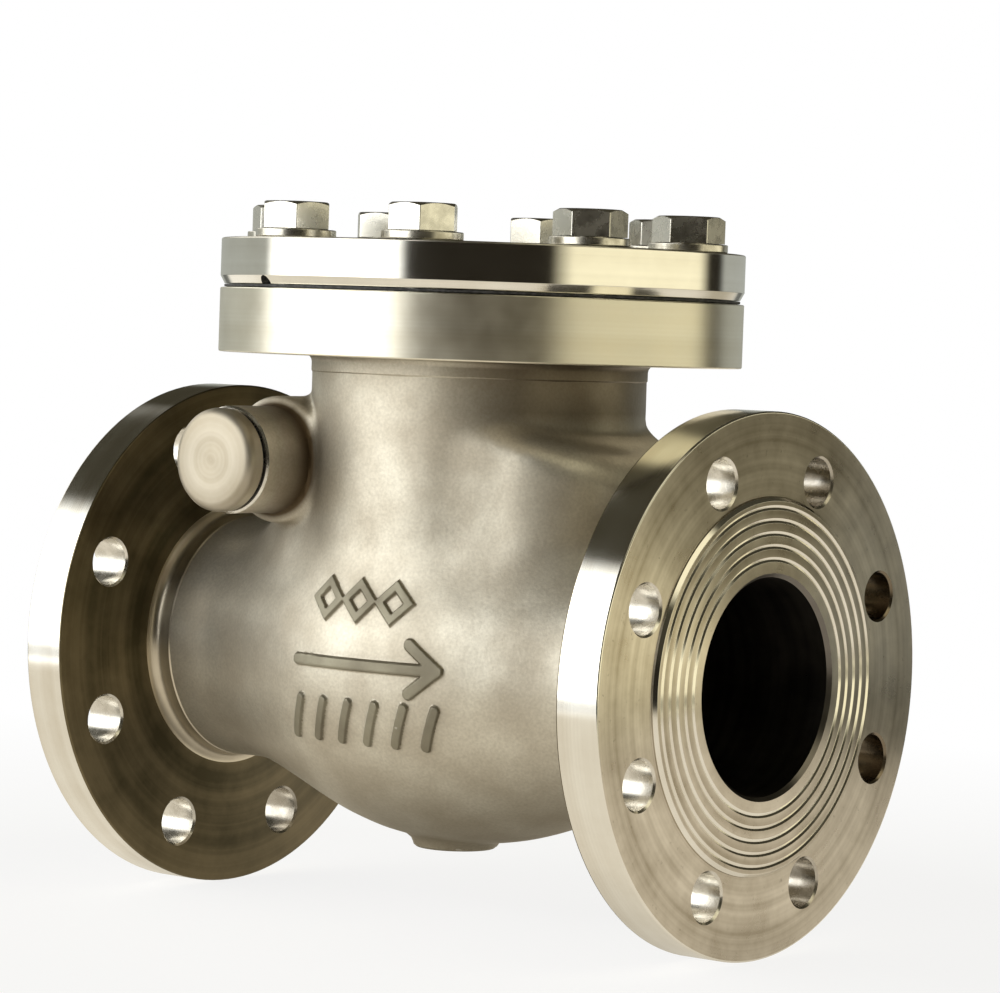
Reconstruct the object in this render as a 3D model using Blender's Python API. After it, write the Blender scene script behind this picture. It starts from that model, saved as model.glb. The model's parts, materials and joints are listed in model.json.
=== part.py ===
"""Flanged swing check valve, nominal bore 80 mm, pressure class PN 16, as an assembly.

Units are metres. X runs with the flow from inlet to outlet, Z runs up the neck to the
bolted cover, and the near side is -Y. The valve stands on the floor z = 0 on the rims of
its end flanges. Sizes are measured from where the flow axis crosses the neck axis, which
is at FLOW_CENTRE. The disc rests closed on its seat, and swings on the hinge pin towards
+X and up.
"""

import math

import bmesh
import bpy
from mathutils import Matrix, Vector

# Clearances
GAP = 0.0003  # between a piece and the one it sits in or on
PAST = 0.002  # how far a cutter runs past the face it opens

# End flanges
INLET_FACE_X = -0.141
OUTLET_FACE_X = 0.139
FLANGE_RADIUS = 0.100
FLANGE_THICKNESS = 0.020  # with the raised face
FLOW_CENTRE = Vector((0.0, 0.0, FLANGE_RADIUS))
RAISED_FACE_RADIUS = 0.069
RAISED_FACE_HEIGHT = 0.002
BORE_RADIUS = 0.040
BORE_CHAMFER = 0.0015
BOLT_CIRCLE_RADIUS = 0.080
FLANGE_HOLE_RADIUS = 0.009
HOLES_PER_FLANGE = 8
FIRST_HOLE_ANGLE = math.pi / HOLES_PER_FLANGE  # the holes straddle the centre lines

# Cast skin of the body
HUB_RADIUS = 0.048
HUB_FILLET = 0.006
BULB_HALF_LENGTH = 0.100
BULB_RADIUS = 0.071
WALL = 0.0105
NECK_RADIUS = 0.064
NECK_BORE_RADIUS = 0.055
CHAMBER_HALF_LENGTH = 0.086
CHAMBER_HALF_WIDTH = 0.050
CHAMBER_TOP_Z = 0.092
CHAMBER_CORNER = 0.048
CHAMBER_WALL = 0.008
FOOT_X = -0.004
FOOT_RADIUS = 0.016
FOOT_Z = -0.0735

# Top flange, gasket and cover
TOP_FLANGE_BOTTOM_Z = 0.1141
TOP_FLANGE_TOP_Z = 0.1384
GASKET_THICKNESS = 0.0009
GASKET_INNER_RADIUS = 0.0565
GASKET_OUTER_RADIUS = 0.0985
COVER_THICKNESS = 0.0173
COVER_SPIGOT_DEPTH = 0.004
COVER_EDGE = 0.0008
COVER_BOTTOM_Z = TOP_FLANGE_TOP_Z + GASKET_THICKNESS + 2 * GAP
COVER_TOP_Z = COVER_BOTTOM_Z + COVER_THICKNESS
PRY_NOTCH_RADIUS = 0.003
PRY_NOTCH_DEPTH = 0.006
PRY_NOTCH_ANGLES = (math.radians(-105), math.radians(75))

# Cover bolts and washers
COVER_BOLT_COUNT = 8
BOLT_SHANK_RADIUS = 0.0077
BOLT_HEAD_ACROSS_CORNERS = 0.0277
BOLT_HEAD_HEIGHT = 0.010
BOLT_REACH = 0.019  # how far the shank goes into the body flange
BOLT_HEAD_TURNS = (36, 27, 8, 14, 25, 12, 5, 38)  # degrees, where tightening left each head
WASHER_RADIUS = 0.015
WASHER_THICKNESS = 0.003

# Hinge
PIN_X = -0.0555
PIN_Z = 0.0735
PIN_RADIUS = 0.007
PIN_HALF_LENGTH = 0.057
BUSH_RADIUS = 0.010
BUSH_INNER_Y = 0.040
BUSH_OUTER_Y = 0.056
BOSS_RADIUS = 0.0203
BOSS_ROOT_Y = 0.028
BOSS_END_Y = 0.080
PLUG_SHANK_RADIUS = 0.013
PLUG_INNER_Y = 0.058
PLUG_HEAD_RADIUS = 0.0195
PLUG_HEAD_END_Y = 0.0895
PLUG_GASKET_THICKNESS = 0.0012
ARM_HUB_RADIUS = 0.011
ARM_HUB_HALF_WIDTH = 0.024
ARM_WEB_HALF_WIDTH = 0.0095
ARM_EYE_RADIUS = 0.0165

# Seat, disc and the pieces on its stem, measured along X
SEAT_BACK_X = -0.058
SEAT_FACE_X = -0.050
SEAT_OUTER_RADIUS = 0.0475
SEAT_INNER_RADIUS = 0.0395
DISC_RADIUS = 0.0455
DISC_THICKNESS = 0.0095
DISC_HUB_RADIUS = 0.0125
DISC_HUB_HEIGHT = 0.0035
STEM_RADIUS = 0.0075
EYE_THICKNESS = 0.012
STEM_WASHER_RADIUS = 0.0145
STEM_WASHER_THICKNESS = 0.0025
NUT_ACROSS_CORNERS = 0.0265
NUT_HEIGHT = 0.012
STEM_TAIL = 0.009  # stem left standing past the nut, drilled for the split pin
SPLIT_PIN_RADIUS = 0.0014
SPLIT_PIN_HALF_LENGTH = 0.013

DISC_BACK_X = SEAT_FACE_X + GAP
DISC_FRONT_X = DISC_BACK_X + DISC_THICKNESS
EYE_BACK_X = DISC_FRONT_X + DISC_HUB_HEIGHT + GAP
EYE_FRONT_X = EYE_BACK_X + EYE_THICKNESS
STEM_WASHER_X = EYE_FRONT_X + GAP
NUT_X = STEM_WASHER_X + STEM_WASHER_THICKNESS + GAP
STEM_END_X = NUT_X + NUT_HEIGHT + STEM_TAIL
SPLIT_PIN_X = NUT_X + NUT_HEIGHT + STEM_TAIL / 2

# Facets round a full circle
FINE = 40
MEDIUM = 24
COARSE = 16

# Rotations that carry a shape turned about Z onto another axis
ALONG_X = Matrix.Rotation(math.pi / 2, 4, "Y")
TOWARDS_NEAR = Matrix.Rotation(math.pi / 2, 4, "X")
TOWARDS_FAR = Matrix.Rotation(-math.pi / 2, 4, "X")

SMOOTH_ANGLE = math.radians(32)


# Tools

def clear_scene():
    for scene_object in list(bpy.data.objects):
        bpy.data.objects.remove(scene_object, do_unlink=True)


def material(name, colour, roughness, metallic):
    made = bpy.data.materials.new(name)
    made.use_nodes = True
    surface = made.node_tree.nodes["Principled BSDF"]
    surface.inputs["Base Color"].default_value = (*colour, 1.0)
    surface.inputs["Roughness"].default_value = roughness
    surface.inputs["Metallic"].default_value = metallic
    return made


def place(name, mesh, parent=None, finish=None):
    """Puts a mesh in the scene, keeping its place in the world when it gets a parent."""
    made = bpy.data.objects.new(name, mesh)
    made.location = FLOW_CENTRE
    bpy.context.scene.collection.objects.link(made)
    if finish is not None:
        mesh.materials.append(finish)
        mesh.shade_smooth()
        mesh.set_sharp_from_angle(angle=SMOOTH_ANGLE)
    if parent is not None:
        made.parent = parent
        made.matrix_parent_inverse = parent.matrix_basis.inverted()
    return made


def to_mesh(shape, name, turn=Matrix.Identity(4)):
    shape.transform(turn)
    bmesh.ops.recalc_face_normals(shape, faces=shape.faces)
    mesh = bpy.data.meshes.new(name)
    shape.to_mesh(mesh)
    shape.free()
    return mesh


def join_loops(shape, first, second):
    for here in range(len(first)):
        after = (here + 1) % len(first)
        shape.faces.new((first[here], first[after], second[after], second[here]))


def turned(name, outline, facets, turn=Matrix.Identity(4), ring=False, phase=0.0):
    """Turns an outline of (height, radius) points about Z.

    A solid's outline starts and ends with a radius, and gets flat ends. A ring's outline
    closes on itself.
    """
    shape = bmesh.new()
    loops = []
    for height, radius in outline:
        corners = [phase + 2 * math.pi * step / facets for step in range(facets)]
        loops.append([
            shape.verts.new((radius * math.cos(a), radius * math.sin(a), height)) for a in corners
        ])
    for lower, upper in zip(loops, loops[1:]):
        join_loops(shape, lower, upper)
    if ring:
        join_loops(shape, loops[-1], loops[0])
    else:
        shape.faces.new(loops[0])
        shape.faces.new(loops[-1])
    return to_mesh(shape, name, turn)


def tube_outline(low, high, inner, outer):
    return [(low, inner), (low, outer), (high, outer), (high, inner)]


def rounded_rectangle(half_length, half_width, corner, steps=5):
    """Points anticlockwise round a rectangle with rounded corners."""
    points = []
    centres = ((1, 1), (-1, 1), (-1, -1), (1, -1))
    for quarter, (side_x, side_y) in enumerate(centres):
        for step in range(steps + 1):
            angle = math.pi / 2 * (quarter + step / steps)
            points.append((
                side_x * (half_length - corner) + corner * math.cos(angle),
                side_y * (half_width - corner) + corner * math.sin(angle),
            ))
    return points


def lofted(name, levels):
    """Joins rounded rectangles, given as (z, half length, half width, corner)."""
    shape = bmesh.new()
    loops = [
        [shape.verts.new((x, y, z)) for x, y in rounded_rectangle(length, width, corner)]
        for z, length, width, corner in levels
    ]
    for lower, upper in zip(loops, loops[1:]):
        join_loops(shape, lower, upper)
    shape.faces.new(loops[0])
    shape.faces.new(loops[-1])
    return to_mesh(shape, name)


def combine(target, operation, helper_mesh):
    """Adds a shape to the target, or cuts it away, by a Boolean with a hidden helper."""
    helper = place(helper_mesh.name, helper_mesh)
    helper.display_type = "WIRE"
    helper.hide_render = True
    boolean = target.modifiers.new(helper_mesh.name, "BOOLEAN")
    boolean.operation = operation
    boolean.solver = "EXACT"
    boolean.object = helper


def add(target, helper_mesh):
    combine(target, "UNION", helper_mesh)


def cut(target, helper_mesh):
    combine(target, "DIFFERENCE", helper_mesh)


def circle_of_places(count, radius, first_angle):
    for index in range(count):
        angle = first_angle + 2 * math.pi * index / count
        yield index, Vector((radius * math.cos(angle), radius * math.sin(angle), 0.0))


def bolt_hole_mesh(name, x_or_z_low, x_or_z_high, radius, centre, turn=Matrix.Identity(4)):
    outline = [(x_or_z_low, radius), (x_or_z_high, radius)]
    return turned(name, outline, COARSE, turn @ Matrix.Translation(centre))


# Body

def bulb_radius_at(x, half_length, radius):
    return radius * math.sqrt(max(0.0, 1.0 - (x / half_length) ** 2))


def flow_run_outline():
    """Outside of the casting along the flow: flange, hub, bulb, hub, flange."""
    hub_meets_bulb = BULB_HALF_LENGTH * math.sqrt(1.0 - (HUB_RADIUS / BULB_RADIUS) ** 2)
    inlet_back = INLET_FACE_X + FLANGE_THICKNESS
    outlet_back = OUTLET_FACE_X - FLANGE_THICKNESS
    points = [
        (INLET_FACE_X, RAISED_FACE_RADIUS),
        (INLET_FACE_X + RAISED_FACE_HEIGHT, RAISED_FACE_RADIUS),
        (INLET_FACE_X + RAISED_FACE_HEIGHT, FLANGE_RADIUS),
        (inlet_back, FLANGE_RADIUS),
        (inlet_back, HUB_RADIUS + HUB_FILLET),
        (inlet_back + HUB_FILLET, HUB_RADIUS),
    ]
    steps = 12
    for step in range(steps + 1):
        x = hub_meets_bulb * (2 * step / steps - 1)
        points.append((x, bulb_radius_at(x, BULB_HALF_LENGTH, BULB_RADIUS)))
    points += [
        (outlet_back - HUB_FILLET, HUB_RADIUS),
        (outlet_back, HUB_RADIUS + HUB_FILLET),
        (outlet_back, FLANGE_RADIUS),
        (OUTLET_FACE_X - RAISED_FACE_HEIGHT, FLANGE_RADIUS),
        (OUTLET_FACE_X - RAISED_FACE_HEIGHT, RAISED_FACE_RADIUS),
        (OUTLET_FACE_X, RAISED_FACE_RADIUS),
    ]
    return points


def add_neck_and_top_flange(body):
    fillet = 0.004
    outline = [
        (0.0, NECK_RADIUS),
        (TOP_FLANGE_BOTTOM_Z - fillet, NECK_RADIUS),
        (TOP_FLANGE_BOTTOM_Z, NECK_RADIUS + fillet),
        (TOP_FLANGE_BOTTOM_Z, FLANGE_RADIUS),
        (TOP_FLANGE_TOP_Z, FLANGE_RADIUS),
    ]
    add(body, turned("neck_outside", outline, FINE))


def add_chamber_block(body):
    """The oval room on both sides of the neck that the open disc swings into."""
    slope = 0.020
    levels = [
        (0.004, CHAMBER_HALF_LENGTH - 0.012, CHAMBER_HALF_WIDTH, CHAMBER_CORNER),
        (0.030, CHAMBER_HALF_LENGTH, CHAMBER_HALF_WIDTH, CHAMBER_CORNER),
        (CHAMBER_TOP_Z - slope, CHAMBER_HALF_LENGTH, CHAMBER_HALF_WIDTH, CHAMBER_CORNER),
        (CHAMBER_TOP_Z - slope / 3, CHAMBER_HALF_LENGTH - slope / 3,
         CHAMBER_HALF_WIDTH - slope / 5, CHAMBER_CORNER - slope / 5),
        (CHAMBER_TOP_Z, CHAMBER_HALF_LENGTH - slope, CHAMBER_HALF_WIDTH - slope / 2,
         CHAMBER_CORNER - slope / 2),
    ]
    add(body, lofted("chamber_outside", levels))


def add_bosses_and_foot(body):
    pin_place = Matrix.Translation((PIN_X, 0.0, PIN_Z))
    outline = [(BOSS_ROOT_Y, BOSS_RADIUS), (BOSS_END_Y, BOSS_RADIUS)]
    add(body, turned("boss_near_outside", outline, MEDIUM, pin_place @ TOWARDS_NEAR))
    add(body, turned("boss_far_outside", outline, MEDIUM, pin_place @ TOWARDS_FAR))
    foot_outline = [(FOOT_Z, FOOT_RADIUS), (-BULB_RADIUS + WALL / 2, FOOT_RADIUS)]
    add(body, turned("foot_outside", foot_outline, MEDIUM, Matrix.Translation((FOOT_X, 0, 0))))


def cut_flow_passage(body):
    """Inlet bore with the seat pocket, the chamber under the neck, and the outlet bore."""
    inlet_outline = [
        (INLET_FACE_X - PAST, BORE_RADIUS + BORE_CHAMFER + PAST),
        (INLET_FACE_X + BORE_CHAMFER, BORE_RADIUS),
        (SEAT_BACK_X - GAP, BORE_RADIUS),
        (SEAT_BACK_X - GAP, SEAT_OUTER_RADIUS + GAP),
        (SEAT_FACE_X + PAST, SEAT_OUTER_RADIUS + GAP),
    ]
    cut(body, turned("inlet_passage", inlet_outline, FINE, ALONG_X))
    half_length = BULB_HALF_LENGTH - WALL
    radius = BULB_RADIUS - WALL
    bulb_end = half_length * math.sqrt(1.0 - (BORE_RADIUS / radius) ** 2)
    steps = 8
    outlet_outline = []
    for step in range(steps + 1):
        x = SEAT_FACE_X + (bulb_end - SEAT_FACE_X) * step / steps
        outlet_outline.append((x, bulb_radius_at(x, half_length, radius)))
    outlet_outline += [
        (OUTLET_FACE_X - BORE_CHAMFER, BORE_RADIUS),
        (OUTLET_FACE_X + PAST, BORE_RADIUS + BORE_CHAMFER + PAST),
    ]
    cut(body, turned("outlet_passage", outlet_outline, FINE, ALONG_X))


def cut_chamber(body):
    """Room for the hinge over the seat wall, and for the open disc."""
    floor_z = 0.056  # top of the wall that holds the seat
    ceiling_z = CHAMBER_TOP_Z - CHAMBER_WALL + 0.002
    length = CHAMBER_HALF_LENGTH - CHAMBER_WALL
    width = CHAMBER_HALF_WIDTH - CHAMBER_WALL
    corner = CHAMBER_CORNER - CHAMBER_WALL
    slope = 0.008
    cut(body, lofted("hinge_room", [
        (floor_z, length, width, corner),
        (ceiling_z - slope, length, width, corner),
        (ceiling_z, length - slope, width - slope / 2, corner - slope / 2),
    ]))
    outlet_side = lofted("disc_room", [
        (0.002, (length - SEAT_FACE_X) / 2, width, corner),
        (floor_z + PAST, (length - SEAT_FACE_X) / 2, width, corner),
    ])
    outlet_side.transform(Matrix.Translation(((length + SEAT_FACE_X) / 2, 0.0, 0.0)))
    cut(body, outlet_side)
    neck_room_radius = 0.0525
    neck_room_x = SEAT_FACE_X + neck_room_radius
    neck_room = [(0.001, neck_room_radius), (floor_z + 2 * PAST, neck_room_radius)]
    cut(body, turned("neck_room", neck_room, FINE, Matrix.Translation((neck_room_x, 0, 0))))
    neck_bore = [
        (floor_z + PAST / 2, NECK_BORE_RADIUS),
        (TOP_FLANGE_TOP_Z - BORE_CHAMFER, NECK_BORE_RADIUS),
        (TOP_FLANGE_TOP_Z + PAST, NECK_BORE_RADIUS + BORE_CHAMFER + PAST),
    ]
    cut(body, turned("neck_bore", neck_bore, FINE))


def cut_hinge_bores(body):
    outline = [
        (BOSS_ROOT_Y, BUSH_RADIUS + GAP),
        (BUSH_OUTER_Y + GAP, BUSH_RADIUS + GAP),
        (BUSH_OUTER_Y + GAP, PLUG_SHANK_RADIUS + GAP),
        (BOSS_END_Y + PAST, PLUG_SHANK_RADIUS + GAP),
    ]
    pin_place = Matrix.Translation((PIN_X, 0.0, PIN_Z))
    cut(body, turned("hinge_bore_near", outline, MEDIUM, pin_place @ TOWARDS_NEAR))
    cut(body, turned("hinge_bore_far", outline, MEDIUM, pin_place @ TOWARDS_FAR))


def cut_bolt_holes(body):
    ends = {
        "inlet": (INLET_FACE_X - PAST, INLET_FACE_X + FLANGE_THICKNESS + PAST),
        "outlet": (OUTLET_FACE_X - FLANGE_THICKNESS - PAST, OUTLET_FACE_X + PAST),
    }
    for end, (low, high) in ends.items():
        for index, place_in_circle in circle_of_places(
                HOLES_PER_FLANGE, BOLT_CIRCLE_RADIUS, FIRST_HOLE_ANGLE):
            name = f"{end}_hole_{index + 1}"
            cut(body, bolt_hole_mesh(name, low, high, FLANGE_HOLE_RADIUS, place_in_circle, ALONG_X))
    low = TOP_FLANGE_TOP_Z - BOLT_REACH - 2 * GAP
    for index, place_in_circle in circle_of_places(
            COVER_BOLT_COUNT, BOLT_CIRCLE_RADIUS, FIRST_HOLE_ANGLE):
        cut(body, bolt_hole_mesh(f"tapped_hole_{index + 1}", low, TOP_FLANGE_TOP_Z + PAST,
                                 BOLT_SHANK_RADIUS + GAP, place_in_circle))


def make_body(finish):
    body = place("body", turned("body", flow_run_outline(), FINE, ALONG_X), finish=finish)
    add_neck_and_top_flange(body)
    add_chamber_block(body)
    add_bosses_and_foot(body)
    cut_flow_passage(body)
    cut_chamber(body)
    cut_hinge_bores(body)
    cut_bolt_holes(body)


# Cover and its fastening

def make_cover(finish):
    outline = [
        (COVER_BOTTOM_Z - COVER_SPIGOT_DEPTH, NECK_BORE_RADIUS - 2 * GAP),
        (COVER_BOTTOM_Z, NECK_BORE_RADIUS - 2 * GAP),
        (COVER_BOTTOM_Z, FLANGE_RADIUS - COVER_EDGE),
        (COVER_BOTTOM_Z + COVER_EDGE, FLANGE_RADIUS),
        (COVER_TOP_Z - COVER_EDGE, FLANGE_RADIUS),
        (COVER_TOP_Z, FLANGE_RADIUS - COVER_EDGE),
    ]
    cover = place("cover", turned("cover", outline, FINE), finish=finish)
    for index, place_in_circle in circle_of_places(
            COVER_BOLT_COUNT, BOLT_CIRCLE_RADIUS, FIRST_HOLE_ANGLE):
        cut(cover, bolt_hole_mesh(f"cover_hole_{index + 1}", COVER_BOTTOM_Z - PAST,
                                  COVER_TOP_Z + PAST, FLANGE_HOLE_RADIUS, place_in_circle))
    for index, angle in enumerate(PRY_NOTCH_ANGLES):
        outline = [
            (FLANGE_RADIUS - PRY_NOTCH_DEPTH, PRY_NOTCH_RADIUS),
            (FLANGE_RADIUS + PAST, PRY_NOTCH_RADIUS),
        ]
        turn = Matrix.Translation((0, 0, COVER_BOTTOM_Z)) @ Matrix.Rotation(angle, 4, "Z")
        cut(cover, turned(f"pry_notch_{index + 1}", outline, COARSE, turn @ ALONG_X))


def make_cover_gasket(finish):
    low = TOP_FLANGE_TOP_Z + GAP
    outline = tube_outline(low, low + GASKET_THICKNESS, GASKET_INNER_RADIUS, GASKET_OUTER_RADIUS)
    gasket = place("cover_gasket", turned("cover_gasket", outline, FINE, ring=True), finish=finish)
    for index, place_in_circle in circle_of_places(
            COVER_BOLT_COUNT, BOLT_CIRCLE_RADIUS, FIRST_HOLE_ANGLE):
        cut(gasket, bolt_hole_mesh(f"gasket_hole_{index + 1}", low - PAST,
                                   low + GASKET_THICKNESS + PAST, FLANGE_HOLE_RADIUS,
                                   place_in_circle))


def make_cover_bolts(bolt_finish, washer_finish):
    washer_low = COVER_TOP_Z + GAP
    head_low = washer_low + WASHER_THICKNESS + GAP
    shank = [(TOP_FLANGE_TOP_Z - BOLT_REACH, BOLT_SHANK_RADIUS), (head_low + PAST, BOLT_SHANK_RADIUS)]
    corner = BOLT_HEAD_ACROSS_CORNERS / 2
    chamfer = 0.0012
    head = [
        (head_low, corner),
        (head_low + BOLT_HEAD_HEIGHT - chamfer, corner),
        (head_low + BOLT_HEAD_HEIGHT, corner - 2 * chamfer),
    ]
    washer = tube_outline(washer_low, washer_low + WASHER_THICKNESS,
                          BOLT_SHANK_RADIUS + 2 * GAP, WASHER_RADIUS)
    for index, centre in circle_of_places(COVER_BOLT_COUNT, BOLT_CIRCLE_RADIUS, FIRST_HOLE_ANGLE):
        shift = Matrix.Translation(centre)
        number = index + 1
        head_mesh = turned(f"cover_bolt_{number}", head, 6, shift,
                           phase=math.radians(BOLT_HEAD_TURNS[index]))
        bolt = place(f"cover_bolt_{number}", head_mesh, finish=bolt_finish)
        add(bolt, turned(f"bolt_shank_{number}", shank, COARSE, shift))
        place(f"bolt_washer_{number}", turned(f"bolt_washer_{number}", washer, COARSE, shift,
                                              ring=True), finish=washer_finish)


# Hinge pin, its bushes and the plugs that close its bores

def make_hinge_pin(pin_finish, bush_finish, plug_finish, gasket_finish):
    pin_place = Matrix.Translation((PIN_X, 0.0, PIN_Z))
    edge = 0.001
    pin = [
        (-PIN_HALF_LENGTH, PIN_RADIUS - edge),
        (-PIN_HALF_LENGTH + edge, PIN_RADIUS),
        (PIN_HALF_LENGTH - edge, PIN_RADIUS),
        (PIN_HALF_LENGTH, PIN_RADIUS - edge),
    ]
    place("hinge_pin", turned("hinge_pin", pin, MEDIUM, pin_place @ TOWARDS_FAR),
          finish=pin_finish)
    bush = tube_outline(BUSH_INNER_Y, BUSH_OUTER_Y, PIN_RADIUS + GAP, BUSH_RADIUS)
    gasket_low = BOSS_END_Y + GAP
    gasket = tube_outline(gasket_low, gasket_low + PLUG_GASKET_THICKNESS,
                          PLUG_SHANK_RADIUS + GAP, PLUG_HEAD_RADIUS - edge)
    head_low = gasket_low + PLUG_GASKET_THICKNESS + GAP
    plug = [
        (PLUG_INNER_Y, PLUG_SHANK_RADIUS - edge),
        (PLUG_INNER_Y + edge, PLUG_SHANK_RADIUS),
        (head_low, PLUG_SHANK_RADIUS),
        (head_low, PLUG_HEAD_RADIUS),
    ]
    crown = 0.0045  # the head's rim is rounded over this much
    for step in range(1, 5):
        angle = math.pi / 2 * step / 4
        plug.append((PLUG_HEAD_END_Y - crown + crown * math.sin(angle),
                     PLUG_HEAD_RADIUS - crown + crown * math.cos(angle)))
    for side, turn in (("near", TOWARDS_NEAR), ("far", TOWARDS_FAR)):
        whole_turn = pin_place @ turn
        place(f"pin_bush_{side}", turned(f"pin_bush_{side}", bush, MEDIUM, whole_turn, ring=True),
              finish=bush_finish)
        place(f"plug_gasket_{side}",
              turned(f"plug_gasket_{side}", gasket, MEDIUM, whole_turn, ring=True),
              finish=gasket_finish)
        place(f"pin_plug_{side}", turned(f"pin_plug_{side}", plug, MEDIUM, whole_turn),
              finish=plug_finish)


# Seat, arm and disc

def make_seat_ring(finish):
    lip = 0.0008
    outline = [
        (SEAT_BACK_X, SEAT_INNER_RADIUS),
        (SEAT_BACK_X, SEAT_OUTER_RADIUS),
        (SEAT_FACE_X - lip, SEAT_OUTER_RADIUS),
        (SEAT_FACE_X, SEAT_OUTER_RADIUS - 2 * lip),
        (SEAT_FACE_X, SEAT_INNER_RADIUS),
    ]
    place("seat_ring", turned("seat_ring", outline, FINE, ALONG_X, ring=True), finish=finish)


def arm_web_mesh():
    """Side view of the arm between hinge hub and disc eye, given thickness along Y."""
    lower_x = EYE_BACK_X + GAP
    upper_x = EYE_FRONT_X - GAP
    side = [
        (PIN_X + 0.0085, PIN_Z - 0.0065),
        (lower_x - 0.0005, PIN_Z - 0.0235),
        (lower_x, 0.0),
        (upper_x, 0.0),
        (upper_x, PIN_Z - 0.0235),
        (PIN_X + 0.0105, PIN_Z + 0.0030),
        (PIN_X, PIN_Z + 0.0075),
        (PIN_X, PIN_Z - 0.0065),
    ]
    shape = bmesh.new()
    near = [shape.verts.new((x, -ARM_WEB_HALF_WIDTH, z)) for x, z in side]
    far = [shape.verts.new((x, ARM_WEB_HALF_WIDTH, z)) for x, z in side]
    join_loops(shape, near, far)
    shape.faces.new(near)
    shape.faces.new(far)
    return to_mesh(shape, "hinge_arm")


def make_hinge_arm(arm_pivot, finish):
    arm = place("hinge_arm", arm_web_mesh(), arm_pivot, finish)
    pin_place = Matrix.Translation((PIN_X, 0.0, PIN_Z))
    hub = [(-ARM_HUB_HALF_WIDTH, ARM_HUB_RADIUS), (ARM_HUB_HALF_WIDTH, ARM_HUB_RADIUS)]
    add(arm, turned("arm_hub", hub, MEDIUM, pin_place @ TOWARDS_FAR))
    eye = [(EYE_BACK_X, ARM_EYE_RADIUS), (EYE_FRONT_X, ARM_EYE_RADIUS)]
    add(arm, turned("arm_eye", eye, MEDIUM, ALONG_X))
    hub_bore = [(-ARM_HUB_HALF_WIDTH - PAST, PIN_RADIUS + GAP),
                (ARM_HUB_HALF_WIDTH + PAST, PIN_RADIUS + GAP)]
    cut(arm, turned("arm_hub_bore", hub_bore, MEDIUM, pin_place @ TOWARDS_FAR))
    eye_bore = [(EYE_BACK_X - PAST, STEM_RADIUS + GAP), (EYE_FRONT_X + PAST, STEM_RADIUS + GAP)]
    cut(arm, turned("arm_eye_bore", eye_bore, MEDIUM, ALONG_X))


def make_disc(disc_pivot, finish):
    rim = 0.0015
    outline = [
        (DISC_BACK_X, DISC_RADIUS - rim),
        (DISC_BACK_X + rim, DISC_RADIUS),
        (DISC_FRONT_X - 2 * rim, DISC_RADIUS),
        (DISC_FRONT_X, DISC_RADIUS - 3 * rim),
        (DISC_FRONT_X, DISC_HUB_RADIUS),
        (DISC_FRONT_X + DISC_HUB_HEIGHT, DISC_HUB_RADIUS),
        (DISC_FRONT_X + DISC_HUB_HEIGHT, STEM_RADIUS),
        (STEM_END_X - rim, STEM_RADIUS),
        (STEM_END_X, STEM_RADIUS - rim),
    ]
    disc = place("disc", turned("disc", outline, MEDIUM, ALONG_X), disc_pivot, finish)
    hole = [(-STEM_RADIUS - PAST, SPLIT_PIN_RADIUS + GAP), (STEM_RADIUS + PAST, SPLIT_PIN_RADIUS + GAP)]
    cut(disc, turned("split_pin_hole", hole, COARSE, Matrix.Translation((SPLIT_PIN_X, 0, 0))))


def make_stem_pieces(disc_pivot, washer_finish, nut_finish, pin_finish):
    washer = tube_outline(STEM_WASHER_X, STEM_WASHER_X + STEM_WASHER_THICKNESS,
                          STEM_RADIUS + GAP, STEM_WASHER_RADIUS)
    place("disc_washer", turned("disc_washer", washer, MEDIUM, ALONG_X, ring=True), disc_pivot,
          washer_finish)
    nut_block = [(NUT_X, NUT_ACROSS_CORNERS / 2), (NUT_X + NUT_HEIGHT, NUT_ACROSS_CORNERS / 2)]
    nut = place("disc_nut", turned("disc_nut", nut_block, 6, ALONG_X), disc_pivot, nut_finish)
    nut_bore = [(NUT_X - PAST, STEM_RADIUS + GAP), (NUT_X + NUT_HEIGHT + PAST, STEM_RADIUS + GAP)]
    cut(nut, turned("disc_nut_bore", nut_bore, MEDIUM, ALONG_X))
    eye_radius = 2.2 * SPLIT_PIN_RADIUS
    split_pin = [
        (-SPLIT_PIN_HALF_LENGTH, SPLIT_PIN_RADIUS / 2),
        (-SPLIT_PIN_HALF_LENGTH + SPLIT_PIN_RADIUS, SPLIT_PIN_RADIUS),
        (SPLIT_PIN_HALF_LENGTH - 2 * eye_radius, SPLIT_PIN_RADIUS),
        (SPLIT_PIN_HALF_LENGTH - eye_radius, eye_radius),
        (SPLIT_PIN_HALF_LENGTH, SPLIT_PIN_RADIUS),
    ]
    place("split_pin", turned("split_pin", split_pin, 12, Matrix.Translation((SPLIT_PIN_X, 0, 0))),
          disc_pivot, pin_finish)


def pivot(name, location, parent=None):
    """An empty on a joint's axis, which carries the pieces that move with the joint."""
    made = bpy.data.objects.new(name, None)
    made.location = FLOW_CENTRE + Vector(location)
    bpy.context.scene.collection.objects.link(made)
    if parent is not None:
        made.parent = parent
        made.matrix_parent_inverse = parent.matrix_basis.inverted()
    return made


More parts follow.
